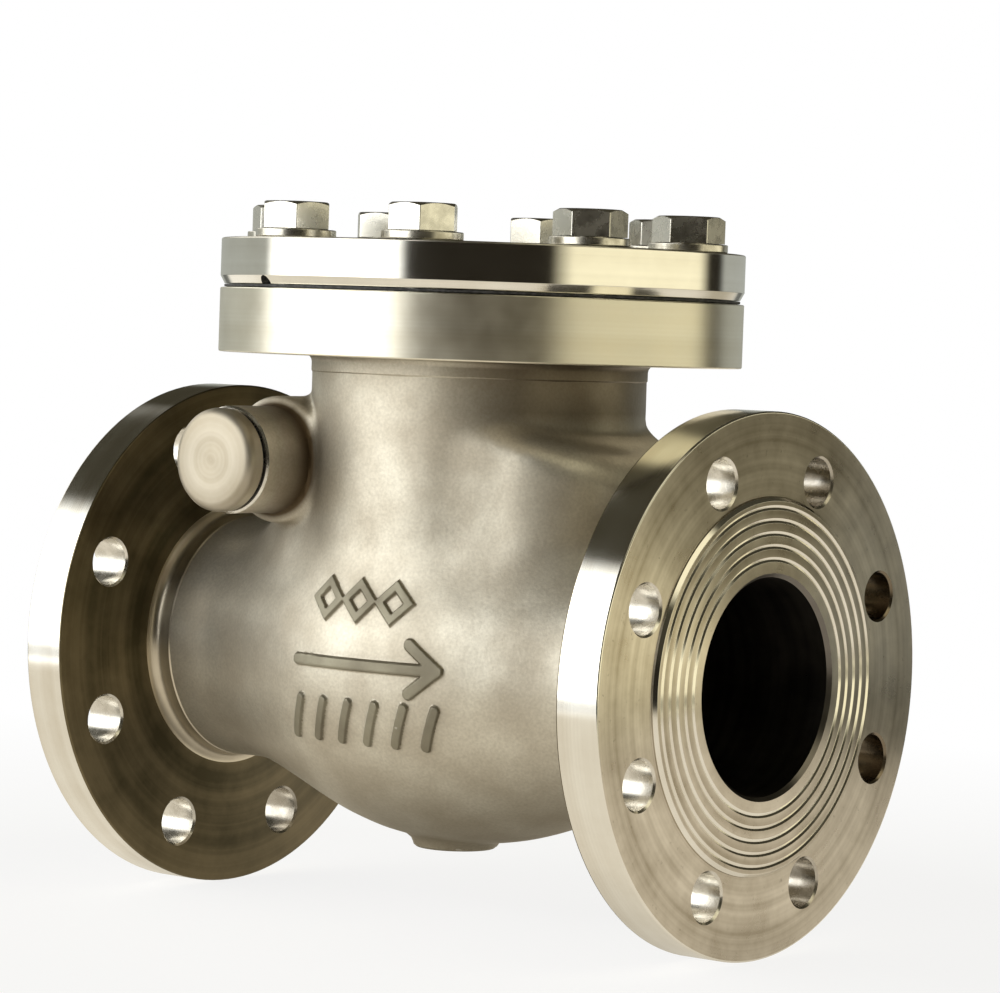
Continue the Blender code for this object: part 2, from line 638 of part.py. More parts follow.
def main():
    clear_scene()
    cast_steel = material("cast_stainless", (0.62, 0.58, 0.50), 0.48, 0.85)
    turned_steel = material("turned_stainless", (0.72, 0.70, 0.66), 0.22, 1.0)
    bolt_steel = material("bolt_steel", (0.66, 0.64, 0.60), 0.30, 1.0)
    disc_steel = material("disc_steel", (0.58, 0.56, 0.52), 0.35, 1.0)
    graphite = material("graphite", (0.06, 0.06, 0.06), 0.70, 0.0)
    bronze = material("bush_bronze", (0.62, 0.42, 0.20), 0.35, 1.0)

    make_body(cast_steel)
    make_cover(turned_steel)
    make_cover_gasket(graphite)
    make_cover_bolts(bolt_steel, bolt_steel)
    make_hinge_pin(turned_steel, bronze, turned_steel, graphite)
    make_seat_ring(turned_steel)
    arm_pivot = pivot("arm_pivot", (PIN_X, 0.0, PIN_Z))
    disc_pivot = pivot("disc_pivot", (DISC_BACK_X, 0.0, 0.0), arm_pivot)
    bpy.context.view_layer.update()
    make_hinge_arm(arm_pivot, disc_steel)
    make_disc(disc_pivot, disc_steel)
    make_stem_pieces(disc_pivot, bolt_steel, bolt_steel, turned_steel)


main()
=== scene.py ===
"""The finished look of a flanged swing check valve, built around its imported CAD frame.

Units are metres. Shapes are made about the point where the flow axis crosses the neck
axis: X runs with the flow, Z up the neck, and the near side is -Y. Every piece is then
lifted to FLOW_CENTRE, because the valve stands on the floor z = 0.
"""

import json
import math

import bmesh
import bpy
import numpy as np
from mathutils import Matrix, Vector


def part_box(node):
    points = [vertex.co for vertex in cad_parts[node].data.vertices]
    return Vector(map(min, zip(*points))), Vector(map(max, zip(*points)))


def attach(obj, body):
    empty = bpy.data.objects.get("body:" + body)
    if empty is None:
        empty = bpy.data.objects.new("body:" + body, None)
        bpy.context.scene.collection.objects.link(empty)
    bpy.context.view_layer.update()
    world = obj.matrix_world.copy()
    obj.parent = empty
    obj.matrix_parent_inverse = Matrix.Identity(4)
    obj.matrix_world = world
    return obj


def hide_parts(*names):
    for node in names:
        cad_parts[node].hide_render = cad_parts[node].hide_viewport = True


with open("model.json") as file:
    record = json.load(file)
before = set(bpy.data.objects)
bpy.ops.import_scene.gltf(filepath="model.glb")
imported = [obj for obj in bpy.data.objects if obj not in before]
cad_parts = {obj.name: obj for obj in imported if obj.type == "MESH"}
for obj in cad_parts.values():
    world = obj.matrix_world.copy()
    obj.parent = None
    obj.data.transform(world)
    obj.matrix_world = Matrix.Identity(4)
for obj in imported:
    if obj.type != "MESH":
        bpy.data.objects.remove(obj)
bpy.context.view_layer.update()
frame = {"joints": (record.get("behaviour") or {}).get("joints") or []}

# Sizes from the frame. NEAR and FAR are the two ends of a node's box.
NEAR, FAR = 0, 1
MM = 0.001
joints = {joint["name"]: joint for joint in frame["joints"]}
body_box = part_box("body")
cover_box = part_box("cover")
disc_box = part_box("disc")
seat_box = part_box("seat_ring")
FLOW_CENTRE = Vector((0.0, 0.0, joints["disc_spin"]["pos_m"][2]))
INLET_FACE_X = body_box[NEAR].x
OUTLET_FACE_X = body_box[FAR].x
FLANGE_RADIUS = cover_box[FAR].y
PIN_X = joints["arm_swing"]["pos_m"][0]
PIN_Z = joints["arm_swing"]["pos_m"][2] - FLOW_CENTRE.z
TOP_FLANGE_TOP_Z = body_box[FAR].z - FLOW_CENTRE.z
SEAT_BACK_X = seat_box[NEAR].x
SEAT_FACE_X = seat_box[FAR].x

# Flanges
FLANGE_THICKNESS = 20 * MM
RAISED_FACE_RADIUS = 69 * MM
RAISED_FACE_HEIGHT = 2 * MM
BORE_RADIUS = 40 * MM
BOLT_CIRCLE_RADIUS = 80 * MM
FLANGE_HOLE_RADIUS = 9 * MM
HOLES = 8
TOP_FLANGE_BOTTOM_Z = 114.1 * MM
EDGE = 0.7 * MM  # broken edge of a machined rim
PAST = 2 * MM  # how far a cutter runs past the face it opens
GAP = 0.3 * MM
MOUTH = 0.8 * MM  # countersink of a drilled hole

# Casting
HUB_RADIUS = 48 * MM
BULB_HALF_LENGTH = 100 * MM
BULB_RADIUS = 71 * MM
WALL = 10.5 * MM
NECK_RADIUS = 64 * MM
NECK_BORE_RADIUS = 55 * MM
BLOCK_HALF_LENGTH = 86 * MM
BLOCK_HALF_WIDTH = 50 * MM
BLOCK_CORNER = 48 * MM
BLOCK_TOP_Z = 92 * MM
BLOCK_WALL = 8 * MM
BOSS_RADIUS = 20.3 * MM
BOSS_ROOT_Y = 28 * MM
BOSS_END_Y = 80 * MM
BOSS_PAD_RADIUS = 24.3 * MM
BOSS_PAD_END_Y = 54 * MM
PLUG_RADIUS = 13 * MM
FOOT_X = -4 * MM
FOOT_RADIUS = 16 * MM
FOOT_Z = -73.5 * MM

ALONG_X = Matrix.Rotation(math.pi / 2, 4, "Y")
ALONG_Z = Matrix.Identity(4)
TOWARDS_NEAR = Matrix.Rotation(math.pi / 2, 4, "X")
TOWARDS_FAR = Matrix.Rotation(-math.pi / 2, 4, "X")
PIN_PLACE = Matrix.Translation((PIN_X, 0.0, PIN_Z))
SHARP_ANGLE = math.radians(28)

# Order of the body's finishes, the same on every solid that goes into it
CAST, MARK, RIM, FACE, BACK, ROOT, BORE, HOLE, INSIDE, NECK = range(10)


# Meshes from outlines

def arc_round(before, corner, after, radius, steps):
    """Points of the arc that rounds a corner of an outline, kept to half of each side."""
    to_before, to_after = before - corner, after - corner
    half_angle = to_before.angle(to_after) / 2
    room = min(to_before.length, to_after.length) * 0.49
    reach = min(radius / math.tan(half_angle), room)
    radius = reach * math.tan(half_angle)
    inward = (to_before.normalized() + to_after.normalized()).normalized()
    centre = corner + inward * (radius / math.sin(half_angle))
    first = corner + to_before.normalized() * reach - centre
    last = corner + to_after.normalized() * reach - centre
    sweep = first.angle_signed(last)
    return [centre + Matrix.Rotation(-sweep * step / steps, 2) @ first for step in range(steps + 1)]


def softened(outline, closed=False, steps=4):
    """Rounds the corners of an outline of (height, radius, corner radius, finish) points.

    The last two can be left out. The finish belongs to the stretch after its point.
    """
    full = [(*point, 0, 0)[:4] for point in outline]
    result = []
    for index, (height, radius, rounding, finish) in enumerate(full):
        corner = Vector((height, radius))
        at_end = not closed and index in (0, len(full) - 1)
        if rounding <= 0.0 or at_end:
            result.append((height, radius, finish))
            continue
        before = Vector(full[index - 1][:2])
        after = Vector(full[(index + 1) % len(full)][:2])
        arc = arc_round(before, corner, after, rounding, steps)
        result += [(point.x, point.y, finish) for point in arc]
    return result


def to_mesh(shape, name, turn=ALONG_Z):
    shape.transform(turn)
    bmesh.ops.recalc_face_normals(shape, faces=shape.faces)
    mesh = bpy.data.meshes.new(name)
    shape.to_mesh(mesh)
    shape.free()
    return mesh


def join_loops(shape, first, second, finish=0):
    for here in range(len(first)):
        after = (here + 1) % len(first)
        face = shape.faces.new((first[here], first[after], second[after], second[here]))
        face.material_index = finish


def turned(name, outline, facets=96, turn=ALONG_Z, ring=False):
    """Turns an outline about Z. A solid gets flat ends, and a ring closes on itself."""
    shape = bmesh.new()
    loops = []
    finishes = []
    for height, radius, finish in softened(outline, closed=ring):
        angles = [2 * math.pi * step / facets for step in range(facets)]
        loops.append([
            shape.verts.new((radius * math.cos(a), radius * math.sin(a), height)) for a in angles
        ])
        finishes.append(finish)
    for lower, upper, finish in zip(loops, loops[1:], finishes):
        join_loops(shape, lower, upper, finish)
    if ring:
        join_loops(shape, loops[-1], loops[0], finishes[-1])
    else:
        shape.faces.new(loops[0]).material_index = finishes[0]
        shape.faces.new(loops[-1]).material_index = finishes[-1]
    return to_mesh(shape, name, turn)


def merged(name, meshes):
    """One mesh of several, which may not touch each other."""
    shape = bmesh.new()
    for mesh in meshes:
        shape.from_mesh(mesh)
        bpy.data.meshes.remove(mesh)
    result = bpy.data.meshes.new(name)
    shape.to_mesh(result)
    shape.free()
    return result


def circle_of_places():
    """Numbers and centres of the bolts, which straddle the centre lines."""
    for index in range(HOLES):
        angle = math.pi / HOLES + 2 * math.pi * index / HOLES
        across, up = BOLT_CIRCLE_RADIUS * math.cos(angle), BOLT_CIRCLE_RADIUS * math.sin(angle)
        yield index + 1, Vector((across, up, 0.0))


# Solids as functions that are negative inside, about distance elsewhere

def joined(first, second, fillet):
    """Union of two solids, with a fillet where they meet."""
    round_part = np.hypot(np.maximum(fillet - first, 0), np.maximum(fillet - second, 0))
    return np.maximum(fillet, np.minimum(first, second)) - round_part


def common(first, second, rounding):
    """The part that two solids share, with its edge rounded."""
    round_part = np.hypot(np.maximum(rounding + first, 0), np.maximum(rounding + second, 0))
    return np.minimum(-rounding, np.maximum(first, second)) + round_part


def rod(points, axis, radius, centre=(0.0, 0.0, 0.0)):
    """An endless round bar along an axis, given by its number."""
    across = [index for index in range(3) if index != axis]
    offsets = [points[:, index] - centre[index] for index in across]
    return np.hypot(*offsets) - radius


def slab(points, axis, low, high):
    """All that lies between two planes across an axis."""
    return np.abs(points[:, axis] - (low + high) / 2) - (high - low) / 2


def bulb(points, half_length, radius):
    """An ellipsoid about the middle, round across X."""
    sizes = np.array((half_length, radius, radius))
    scaled = np.linalg.norm(points / sizes, axis=1)
    steepness = np.linalg.norm(points / sizes ** 2, axis=1)
    return scaled * (scaled - 1) / np.maximum(steepness, 1e-6)


def block(points, half_length, half_width, corner, top, rounding):
    """The oval room under the neck, its roof falling towards both ends."""
    x, y, z = np.abs(points[:, 0]), np.abs(points[:, 1]), points[:, 2]
    taper_low, taper_high, taper = 4 * MM, 30 * MM, 12 * MM
    pulled_in = taper * np.clip((taper_high - z) / (taper_high - taper_low), 0, 1)
    across = x - (half_length - pulled_in - corner)
    along = y - (half_width - corner)
    corner_part = np.hypot(np.maximum(across, 0), np.maximum(along, 0))
    sides = corner_part + np.minimum(np.maximum(across, along), 0) - corner
    fall_start, fall_angle = 52 * MM, math.radians(24)
    falling = (x - fall_start) * math.sin(fall_angle) + (z - top) * math.cos(fall_angle)
    roof = common(z - top, falling, 14 * MM)
    return np.maximum(common(sides, roof, rounding), -z)


def waviness(points):
    """The slow unevenness of a sand casting's skin, in waves about 20 to 30 mm long."""
    x, y, z = points.T
    wave = np.sin(210 * x + 90 * y + 1.3) * np.sin(170 * z - 120 * x + 0.4)
    wave += np.sin(260 * y - 140 * z + 2.1) * np.sin(190 * x + 110 * z)
    return 0.06 * MM * wave


def cast_outside(points):
    x, y, z = points.T
    mirrored = np.stack((x, np.abs(y), z), axis=1)
    inlet_end = INLET_FACE_X + FLANGE_THICKNESS / 2
    outlet_end = OUTLET_FACE_X - FLANGE_THICKNESS / 2
    hub = np.maximum(rod(points, 0, HUB_RADIUS), slab(points, 0, inlet_end, outlet_end))
    whole = joined(hub, bulb(points, BULB_HALF_LENGTH, BULB_RADIUS), 16 * MM)
    room = block(points, BLOCK_HALF_LENGTH, BLOCK_HALF_WIDTH, BLOCK_CORNER, BLOCK_TOP_Z, 11 * MM)
    whole = joined(whole, room, 9 * MM)
    neck_top = (TOP_FLANGE_BOTTOM_Z + TOP_FLANGE_TOP_Z) / 2
    neck = np.maximum(rod(points, 2, NECK_RADIUS), slab(points, 2, 0.0, neck_top))
    whole = joined(whole, neck, 7 * MM)
    pin = (PIN_X, 0.0, PIN_Z)
    pad = common(rod(mirrored, 1, BOSS_PAD_RADIUS, pin),
                 slab(mirrored, 1, BOSS_ROOT_Y, BOSS_PAD_END_Y), 2.5 * MM)
    boss = np.maximum(rod(mirrored, 1, BOSS_RADIUS, pin),
                      slab(mirrored, 1, BOSS_ROOT_Y, BOSS_END_Y + 3.5 * MM))
    whole = joined(whole, joined(pad, boss, 3 * MM), 3.5 * MM)
    foot = np.maximum(rod(points, 2, FOOT_RADIUS, (FOOT_X, 0.0, 0.0)),
                      slab(points, 2, FOOT_Z - 3 * MM, -50 * MM))
    whole = joined(whole, foot, 4 * MM)
    return whole + waviness(points)


def cast_inside(points):
    """The cored passage: bulb, room over the seat wall and beside the neck, and outlet."""
    x, z = points[:, 0], points[:, 2]
    behind_seat = SEAT_FACE_X - x
    length = BLOCK_HALF_LENGTH - BLOCK_WALL
    width = BLOCK_HALF_WIDTH - BLOCK_WALL
    corner = BLOCK_CORNER - BLOCK_WALL
    ceiling = BLOCK_TOP_Z - BLOCK_WALL + 2 * MM
    room = block(points, length, width, corner, ceiling, 4 * MM)
    floor_z = 56 * MM
    hinge_room = np.maximum(room, floor_z - z)
    swing_room = common(joined(room, bulb(points, BULB_HALF_LENGTH - WALL, BULB_RADIUS - WALL),
                               8 * MM), behind_seat, 2 * MM)
    shaft = 52.5 * MM  # radius of the round shaft that joins the neck to the passage
    under_neck = np.maximum(rod(points, 2, shaft, (SEAT_FACE_X + shaft, 0.0, 0.0)),
                            slab(points, 2, 0.0, floor_z + 5 * MM))
    neck_end = TOP_FLANGE_BOTTOM_Z
    neck = np.maximum(rod(points, 2, NECK_BORE_RADIUS - 1 * MM), slab(points, 2, floor_z, neck_end))
    whole = joined(joined(swing_room, under_neck, 4 * MM), hinge_room, 3 * MM)
    return joined(whole, neck, 3 * MM)


def slope_of(function, points):
    """How steeply a function of position grows along X, Y and Z."""
    reach = 0.02 * MM
    columns = []
    for axis in range(3):
        shift = np.zeros(3)
        shift[axis] = reach
        columns.append((function(points + shift) - function(points - shift)) / (2 * reach))
    return np.stack(columns, axis=1)


def surface_net(function, low, high, step):
    """Points and quads close to the surface where a function of position is zero."""
    counts = np.ceil((np.array(high) - np.array(low)) / step).astype(int) + 1
    axes = [low[axis] + step * np.arange(counts[axis]) for axis in range(3)]
    grid = np.stack(np.meshgrid(*axes, indexing="ij"), axis=-1)
    value = function(grid.reshape(-1, 3)).reshape(counts)
    place_sum = np.zeros((*(counts - 1), 3))
    touches = np.zeros(counts - 1)
    edges = []
    for axis in range(3):
        first = np.take(value, range(counts[axis] - 1), axis)
        second = np.take(value, range(1, counts[axis]), axis)
        crossed = (first < 0) != (second < 0)
        share = np.where(crossed, first / np.where(crossed, first - second, 1.0), 0.0)
        place = np.take(grid, range(counts[axis] - 1), axis).copy()
        place[..., axis] += share * step
        others = [index for index in range(3) if index != axis]
        for low_side in (0, 1):
            for other_side in (0, 1):
                window = [slice(None)] * 3
                window[others[0]] = slice(low_side, counts[others[0]] - 1 + low_side)
                window[others[1]] = slice(other_side, counts[others[1]] - 1 + other_side)
                hit = crossed[tuple(window)]
                place_sum += place[tuple(window)] * hit[..., None]
                touches += hit
        edges.append((axis, np.argwhere(crossed), first[crossed] < 0))
    used = touches > 0
    number = np.full(used.shape, -1)
    number[used] = np.arange(used.sum())
    points = place_sum[used] / touches[used][:, None]
    quads = []
    for axis, starts, leaving in edges:
        second, third = (axis + 1) % 3, (axis + 2) % 3
        corners = []
        for back_second, back_third in ((1, 1), (0, 1), (0, 0), (1, 0)):
            cell = starts.copy()
            cell[:, second] -= back_second
            cell[:, third] -= back_third
            corners.append(number[cell[:, 0], cell[:, 1], cell[:, 2]])
        around = np.stack(corners, axis=1)
        quads.append(np.where(leaving[:, None], around, around[:, ::-1]))
    return points, np.concatenate(quads)


def relaxed(points, quads, slope):
    """Moves points along the surface towards the middle of their neighbours."""
    total = np.zeros_like(points)
    count = np.zeros(len(points))
    for side in range(4):
        here, there = quads[:, side], quads[:, (side + 1) % 4]
        for target, source in ((here, there), (there, here)):
            np.add.at(total, target, points[source])
            np.add.at(count, target, 1)
    shift = total / np.maximum(count, 1)[:, None] - points
    normal = slope / np.linalg.norm(slope, axis=1, keepdims=True)
    shift -= normal * (shift * normal).sum(1, keepdims=True)
    return points + 0.5 * shift


def settled(points, function, rounds=3):
    """Moves points onto the surface where the function is zero."""
    for _ in range(rounds):
        slope = slope_of(function, points)
        steepness = np.maximum((slope ** 2).sum(1), 0.05)
        points = points - slope * (function(points) / steepness)[:, None]
    return points


def skin_mesh(name, function, low, high, step, finish=0):
    """An even mesh of the surface where a function is zero, inside the box low to high."""
    points, quads = surface_net(function, low, high, step)
    for _ in range(3):
        points = relaxed(points, quads, slope_of(function, points))
        points = settled(points, function, 1)
    points = settled(points, function)
    mesh = bpy.data.meshes.new(name)
    mesh.from_pydata(points.tolist(), [], quads.tolist())
    mesh.polygons.foreach_set("material_index", [finish] * len(mesh.polygons))
    return mesh


# Turning meshes into pieces

def carved(mesh, steps, finishes=()):
    """Adds solids to a mesh and cuts solids from it, in order. Every face keeps its finish."""
    helpers = []
    for part in [mesh, *(tool for _, tool in steps)]:
        for finish in finishes:
            part.materials.append(finish)
    start = bpy.data.objects.new(mesh.name, mesh)
    bpy.context.scene.collection.objects.link(start)
    for operation, tool in steps:
        helper = bpy.data.objects.new(tool.name, tool)
        bpy.context.scene.collection.objects.link(helper)
        helpers.append(helper)
        boolean = start.modifiers.new(tool.name, "BOOLEAN")
        boolean.operation = operation
        boolean.solver = "MANIFOLD"
        boolean.object = helper
    bpy.context.view_layer.update()
    shown = start.evaluated_get(bpy.context.evaluated_depsgraph_get())
    result = bpy.data.meshes.new_from_object(shown)
    for scene_object in [start, *helpers]:
        bpy.data.objects.remove(scene_object)
    return result


def add_piece(name, mesh, finishes, node, body):
    """Puts a mesh in the scene in place of a CAD node. It keeps any finishes it has."""
    if not any(mesh.materials):
        mesh.materials.clear()
        for finish in finishes:
            mesh.materials.append(finish)
    mesh.shade_smooth()
    mesh.set_sharp_from_angle(angle=SHARP_ANGLE)
    mesh.transform(Matrix.Translation(FLOW_CENTRE))
    piece = bpy.data.objects.new(name, mesh)
    bpy.context.scene.collection.objects.link(piece)
    flat_faces = piece.modifiers.new("flat_faces_stay_flat", "WEIGHTED_NORMAL")
    flat_faces.keep_sharp = True
    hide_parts(node)
    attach(piece, body)
    return piece


# Finishes

def add_node(tree, kind, inputs=None, **settings):
    """Adds a shader node. An input's value is a number, a colour or another node's output."""
    node = tree.nodes.new(kind)
    for name, value in settings.items():
        setattr(node, name, value)
    for name, value in (inputs or {}).items():
        if isinstance(value, bpy.types.NodeSocket):
            tree.links.new(value, node.inputs[name])
        else:
            node.inputs[name].default_value = value
    return node


def maths(tree, operation, first, second=0.0):
    return add_node(tree, "ShaderNodeMath", {0: first, 1: second}, operation=operation).outputs[0]


def vector_maths(tree, operation, first, **more):
    """Works on a vector. The second operand or the scale is given as other or scale."""
    inputs = {0: first}
    if "other" in more:
        inputs[1] = more["other"]
    if "scale" in more:
        inputs["Scale"] = more["scale"]
    node = add_node(tree, "ShaderNodeVectorMath", inputs, operation=operation)
    return node.outputs["Value" if operation == "LENGTH" else "Vector"]


def noise(tree, place, scale, detail=3.0, roughness=0.5):
    inputs = {"Vector": place, "Scale": scale, "Detail": detail, "Roughness": roughness}
    return add_node(tree, "ShaderNodeTexNoise", inputs).outputs["Fac"]


def spread(tree, value, low, high, out_low, out_high):
    inputs = {"Value": value, "From Min": low, "From Max": high, "To Min": out_low,
              "To Max": out_high}
    return add_node(tree, "ShaderNodeMapRange", inputs).outputs["Result"]


def fade(tree, value, low, high):
    """0 up to low, 1 from high on, and even between them."""
    return spread(tree, value, low, high, 0.0, 1.0)


def blend(tree, share, first, second):
    node = add_node(tree, "ShaderNodeMix", {"Factor": share}, data_type="RGBA")
    first_colour, second_colour, mixed = 6, 7, 2  # a mix node's colour sockets by number
    for socket, value in ((node.inputs[first_colour], first), (node.inputs[second_colour], second)):
        if isinstance(value, bpy.types.NodeSocket):
            tree.links.new(value, socket)
        else:
            socket.default_value = (*value, 1.0)
    return node.outputs[mixed]


def bump(tree, height, distance, strength):
    inputs = {"Height": height, "Distance": distance, "Strength": strength}
    return add_node(tree, "ShaderNodeBump", inputs).outputs["Normal"]


def new_finish(name):
    """A material with its node tree, its surface node and the piece's own coordinates."""
    made = bpy.data.materials.new(name)
    made.use_nodes = True
    tree = made.node_tree
    surface = tree.nodes["Principled BSDF"]
    surface.inputs["Metallic"].default_value = 1.0
    place = add_node(tree, "ShaderNodeTexCoord").outputs["Object"]
    return made, tree, surface, place


def set_inputs(tree, surface, values):
    for name, value in values.items():
        if isinstance(value, bpy.types.NodeSocket):
            tree.links.new(value, surface.inputs[name])
        elif isinstance(value, tuple):
            surface.inputs[name].default_value = (*value, 1.0)
        else:
            surface.inputs[name].default_value = value


def split_place(tree, place):
    return add_node(tree, "ShaderNodeSeparateXYZ", {0: place}).outputs


def rubbed_edges(tree, low, high, most):
    """How much a finish is rubbed bright, by how sharply the surface turns outwards."""
    pointed = add_node(tree, "ShaderNodeNewGeometry").outputs["Pointiness"]
    return spread(tree, pointed, low, high, 0.0, most)


def painted_corner_shade(tree, reach, deep, shallow, most):
    """How much painted shade darkens corners, where nearby surfaces hide the sky."""
    inputs = {"Distance": reach}
    open_sky = add_node(tree, "ShaderNodeAmbientOcclusion", inputs, samples=6).outputs["AO"]
    return spread(tree, open_sky, deep, shallow, most, 0.0)


def boss_root_shade(tree, place):
    """How much painted shade darkens each hinge boss: most at its root, none at its end."""
    parts = split_place(tree, place)
    across = maths(tree, "SUBTRACT", parts["X"], PIN_X)
    above = maths(tree, "SUBTRACT", parts["Z"], PIN_Z + FLOW_CENTRE.z)
    squares = maths(tree, "ADD", maths(tree, "MULTIPLY", across, across),
                    maths(tree, "MULTIPLY", above, above))
    away = maths(tree, "SQRT", squares)
    on_boss = spread(tree, away, BOSS_RADIUS + 1 * MM, BOSS_RADIUS + 3 * MM, 1.0, 0.0)
    depth = maths(tree, "ABSOLUTE", parts["Y"])
    above_pad = fade(tree, depth, BOSS_PAD_END_Y - 3 * MM, BOSS_PAD_END_Y + 1 * MM)
    near_root = spread(tree, depth, BOSS_PAD_END_Y + 3 * MM, BOSS_END_Y, 0.97, 0.0)
    root_shade = maths(tree, "MULTIPLY", above_pad, near_root)
    return maths(tree, "MULTIPLY", on_boss, root_shade)


def neck_under_flange_shade(tree, place):
    """How much painted shade darkens the neck on its outlet side, under the top flange."""
    parts = split_place(tree, place)
    on_neck = fade(tree, parts["Z"], FLOW_CENTRE.z + 84 * MM, FLOW_CENTRE.z + 96 * MM)
    outlet_side = spread(tree, parts["X"], 24 * MM, 50 * MM, 0.0, 0.75)
    return maths(tree, "MULTIPLY", on_neck, outlet_side)


def cast_finish(name, light, dark, roughness, grain=1.0):
    """Bead-blasted casting: fine grain, soft stains, rubbed edges, and painted shade in corners,
    towards the bottom, at the boss roots and under the top flange.
    """
    made, tree, surface, place = new_finish(name)
    surface.inputs["Metallic"].default_value = 0.76  # a blasted skin scatters part of the light
    stains = noise(tree, place, 42.0, 4.0)
    fine = noise(tree, place, 900.0, 2.0)
    pits = noise(tree, place, 260.0, 5.0, 0.65)
    colour = blend(tree, fade(tree, stains, 0.35, 0.68), dark, light)
    colour = blend(tree, spread(tree, fine, 0.3, 0.7, 0.0, 0.25), colour, (0.25, 0.22, 0.17))
    # painted shade: dark brown in tight corners, where nearby surfaces hide the sky
    corner_shade = painted_corner_shade(tree, 9 * MM, 0.40, 0.90, 0.8)
    colour = blend(tree, corner_shade, colour, (0.10, 0.085, 0.055))
    # painted shade: a broad brown darkening wherever surfaces within 24 mm hide the sky
    wide_corner_shade = painted_corner_shade(tree, 24 * MM, 0.35, 0.78, 0.30)
    colour = blend(tree, wide_corner_shade, colour, (0.22, 0.165, 0.095))
    # painted shade: the casting darkens towards its underside
    low_z, high_z = FLOW_CENTRE.z - 70 * MM, FLOW_CENTRE.z - 20 * MM
    under = spread(tree, split_place(tree, place)["Z"], low_z, high_z, 0.45, 0.0)
    colour = blend(tree, under, colour, (0.28, 0.23, 0.14))
    # painted shade, near black, at the boss roots and under the top flange
    painted_shade = maths(tree, "MAXIMUM", boss_root_shade(tree, place), neck_under_flange_shade(tree, place))
    colour = blend(tree, painted_shade, colour, (0.09, 0.06, 0.03))
    colour = blend(tree, rubbed_edges(tree, 0.54, 0.64, 0.4), colour, (0.86, 0.84, 0.78))
    height = maths(tree, "ADD", maths(tree, "MULTIPLY", fine, 0.35), pits)
    normal = bump(tree, height, 0.12 * MM * grain, 0.8)
    rough = spread(tree, stains, 0.3, 0.7, roughness + 0.05, roughness - 0.05)
    set_inputs(tree, surface, {"Base Color": colour, "Roughness": rough, "Normal": normal})
    return made


def turned_finish(name, light, dark, roughness, axis, streak=0.5, tilt=0.0, centre=(0, 0, 0),
                  wear=0.0):
    """Lathe-turned steel: fine rings round an axis, stretched highlights, a tool's tilt."""
    made, tree, surface, place = new_finish(name)
    middle = (centre[0], centre[1], centre[2] + FLOW_CENTRE.z)
    offset = vector_maths(tree, "SUBTRACT", place, other=middle)
    keep = [0.0 if letter == axis else 1.0 for letter in "XYZ"]
    flat = vector_maths(tree, "MULTIPLY", offset, other=keep)
    radius = vector_maths(tree, "LENGTH", flat)
    height = split_place(tree, offset)[axis]
    profile = add_node(tree, "ShaderNodeCombineXYZ", {"X": radius, "Y": height}).outputs[0]
    rings = noise(tree, profile, 1300.0, 2.0, 0.7)
    bands = noise(tree, profile, 160.0, 3.0, 0.6)
    smears = noise(tree, place, 55.0, 4.0, 0.6)
    shade = maths(tree, "ADD", maths(tree, "MULTIPLY", bands, 0.6),
                  maths(tree, "MULTIPLY", smears, 0.4))
    colour = blend(tree, fade(tree, shade, 0.36, 0.62), dark, light)
    if wear > 0.0:
        nicks = spread(tree, noise(tree, place, 420.0, 6.0, 0.7), 0.62, 0.74, 0.0, wear)
        colour = blend(tree, nicks, colour, (0.16, 0.13, 0.09))
    normal = bump(tree, rings, 0.03 * MM, streak)
    if tilt:
        outward = vector_maths(tree, "NORMALIZE", flat)
        lean = vector_maths(tree, "SCALE", outward, scale=tilt)
        leaning = vector_maths(tree, "ADD", normal, other=lean)
        normal = vector_maths(tree, "NORMALIZE", leaning)
    rough = spread(tree, smears, 0.3, 0.7, roughness * 0.9, roughness * 1.12)
    tangent = add_node(tree, "ShaderNodeTangent", direction_type="RADIAL", axis=axis)
    quarter_turn = 0.25  # the grooves run round, so light spreads across them
    set_inputs(tree, surface, {
        "Base Color": colour, "Roughness": rough, "Normal": normal, "Anisotropic": streak,
        "Anisotropic Rotation": quarter_turn, "Tangent": tangent.outputs[0],
    })
    return made


def rolled_finish(name, light, dark, roughness, far_side_shade=0.0):
    """Forged and rolled fastener steel: dull patches, small dents, bright rubbed corners, and
    painted shade towards the far side when asked.
    """
    made, tree, surface, place = new_finish(name)
    patches = noise(tree, place, 180.0, 4.0, 0.6)
    fine = noise(tree, place, 1500.0, 2.0)
    colour = blend(tree, fade(tree, patches, 0.35, 0.65), dark, light)
    colour = blend(tree, rubbed_edges(tree, 0.52, 0.60, 0.8), colour, (0.88, 0.87, 0.82))
    # painted shade: darker towards the far side (+Y), where the holes face the body
    far_side_darkening = spread(tree, split_place(tree, place)["Y"], 15 * MM, 65 * MM, 0.0, far_side_shade)
    colour = blend(tree, far_side_darkening, colour, (0.15, 0.11, 0.065))
    normal = bump(tree, maths(tree, "ADD", patches, maths(tree, "MULTIPLY", fine, 0.3)),
                  0.08 * MM, 0.6)
    rough = spread(tree, patches, 0.3, 0.7, roughness + 0.08, roughness - 0.06)
    set_inputs(tree, surface, {"Base Color": colour, "Roughness": rough, "Normal": normal})
    return made


def gasket_finish():
    """Pressed graphite sheet: nearly black, with a faint flake."""
    made, tree, surface, place = new_finish("graphite_sheet")
    flakes = noise(tree, place, 700.0, 3.0)
    black, grey = (0.025, 0.025, 0.026), (0.085, 0.085, 0.09)
    colour = blend(tree, fade(tree, flakes, 0.4, 0.7), black, grey)
    normal = bump(tree, flakes, 0.05 * MM, 0.5)
    set_inputs(tree, surface, {"Base Color": colour, "Roughness": 0.55, "Metallic": 0.2,
                               "Normal": normal})
    return made


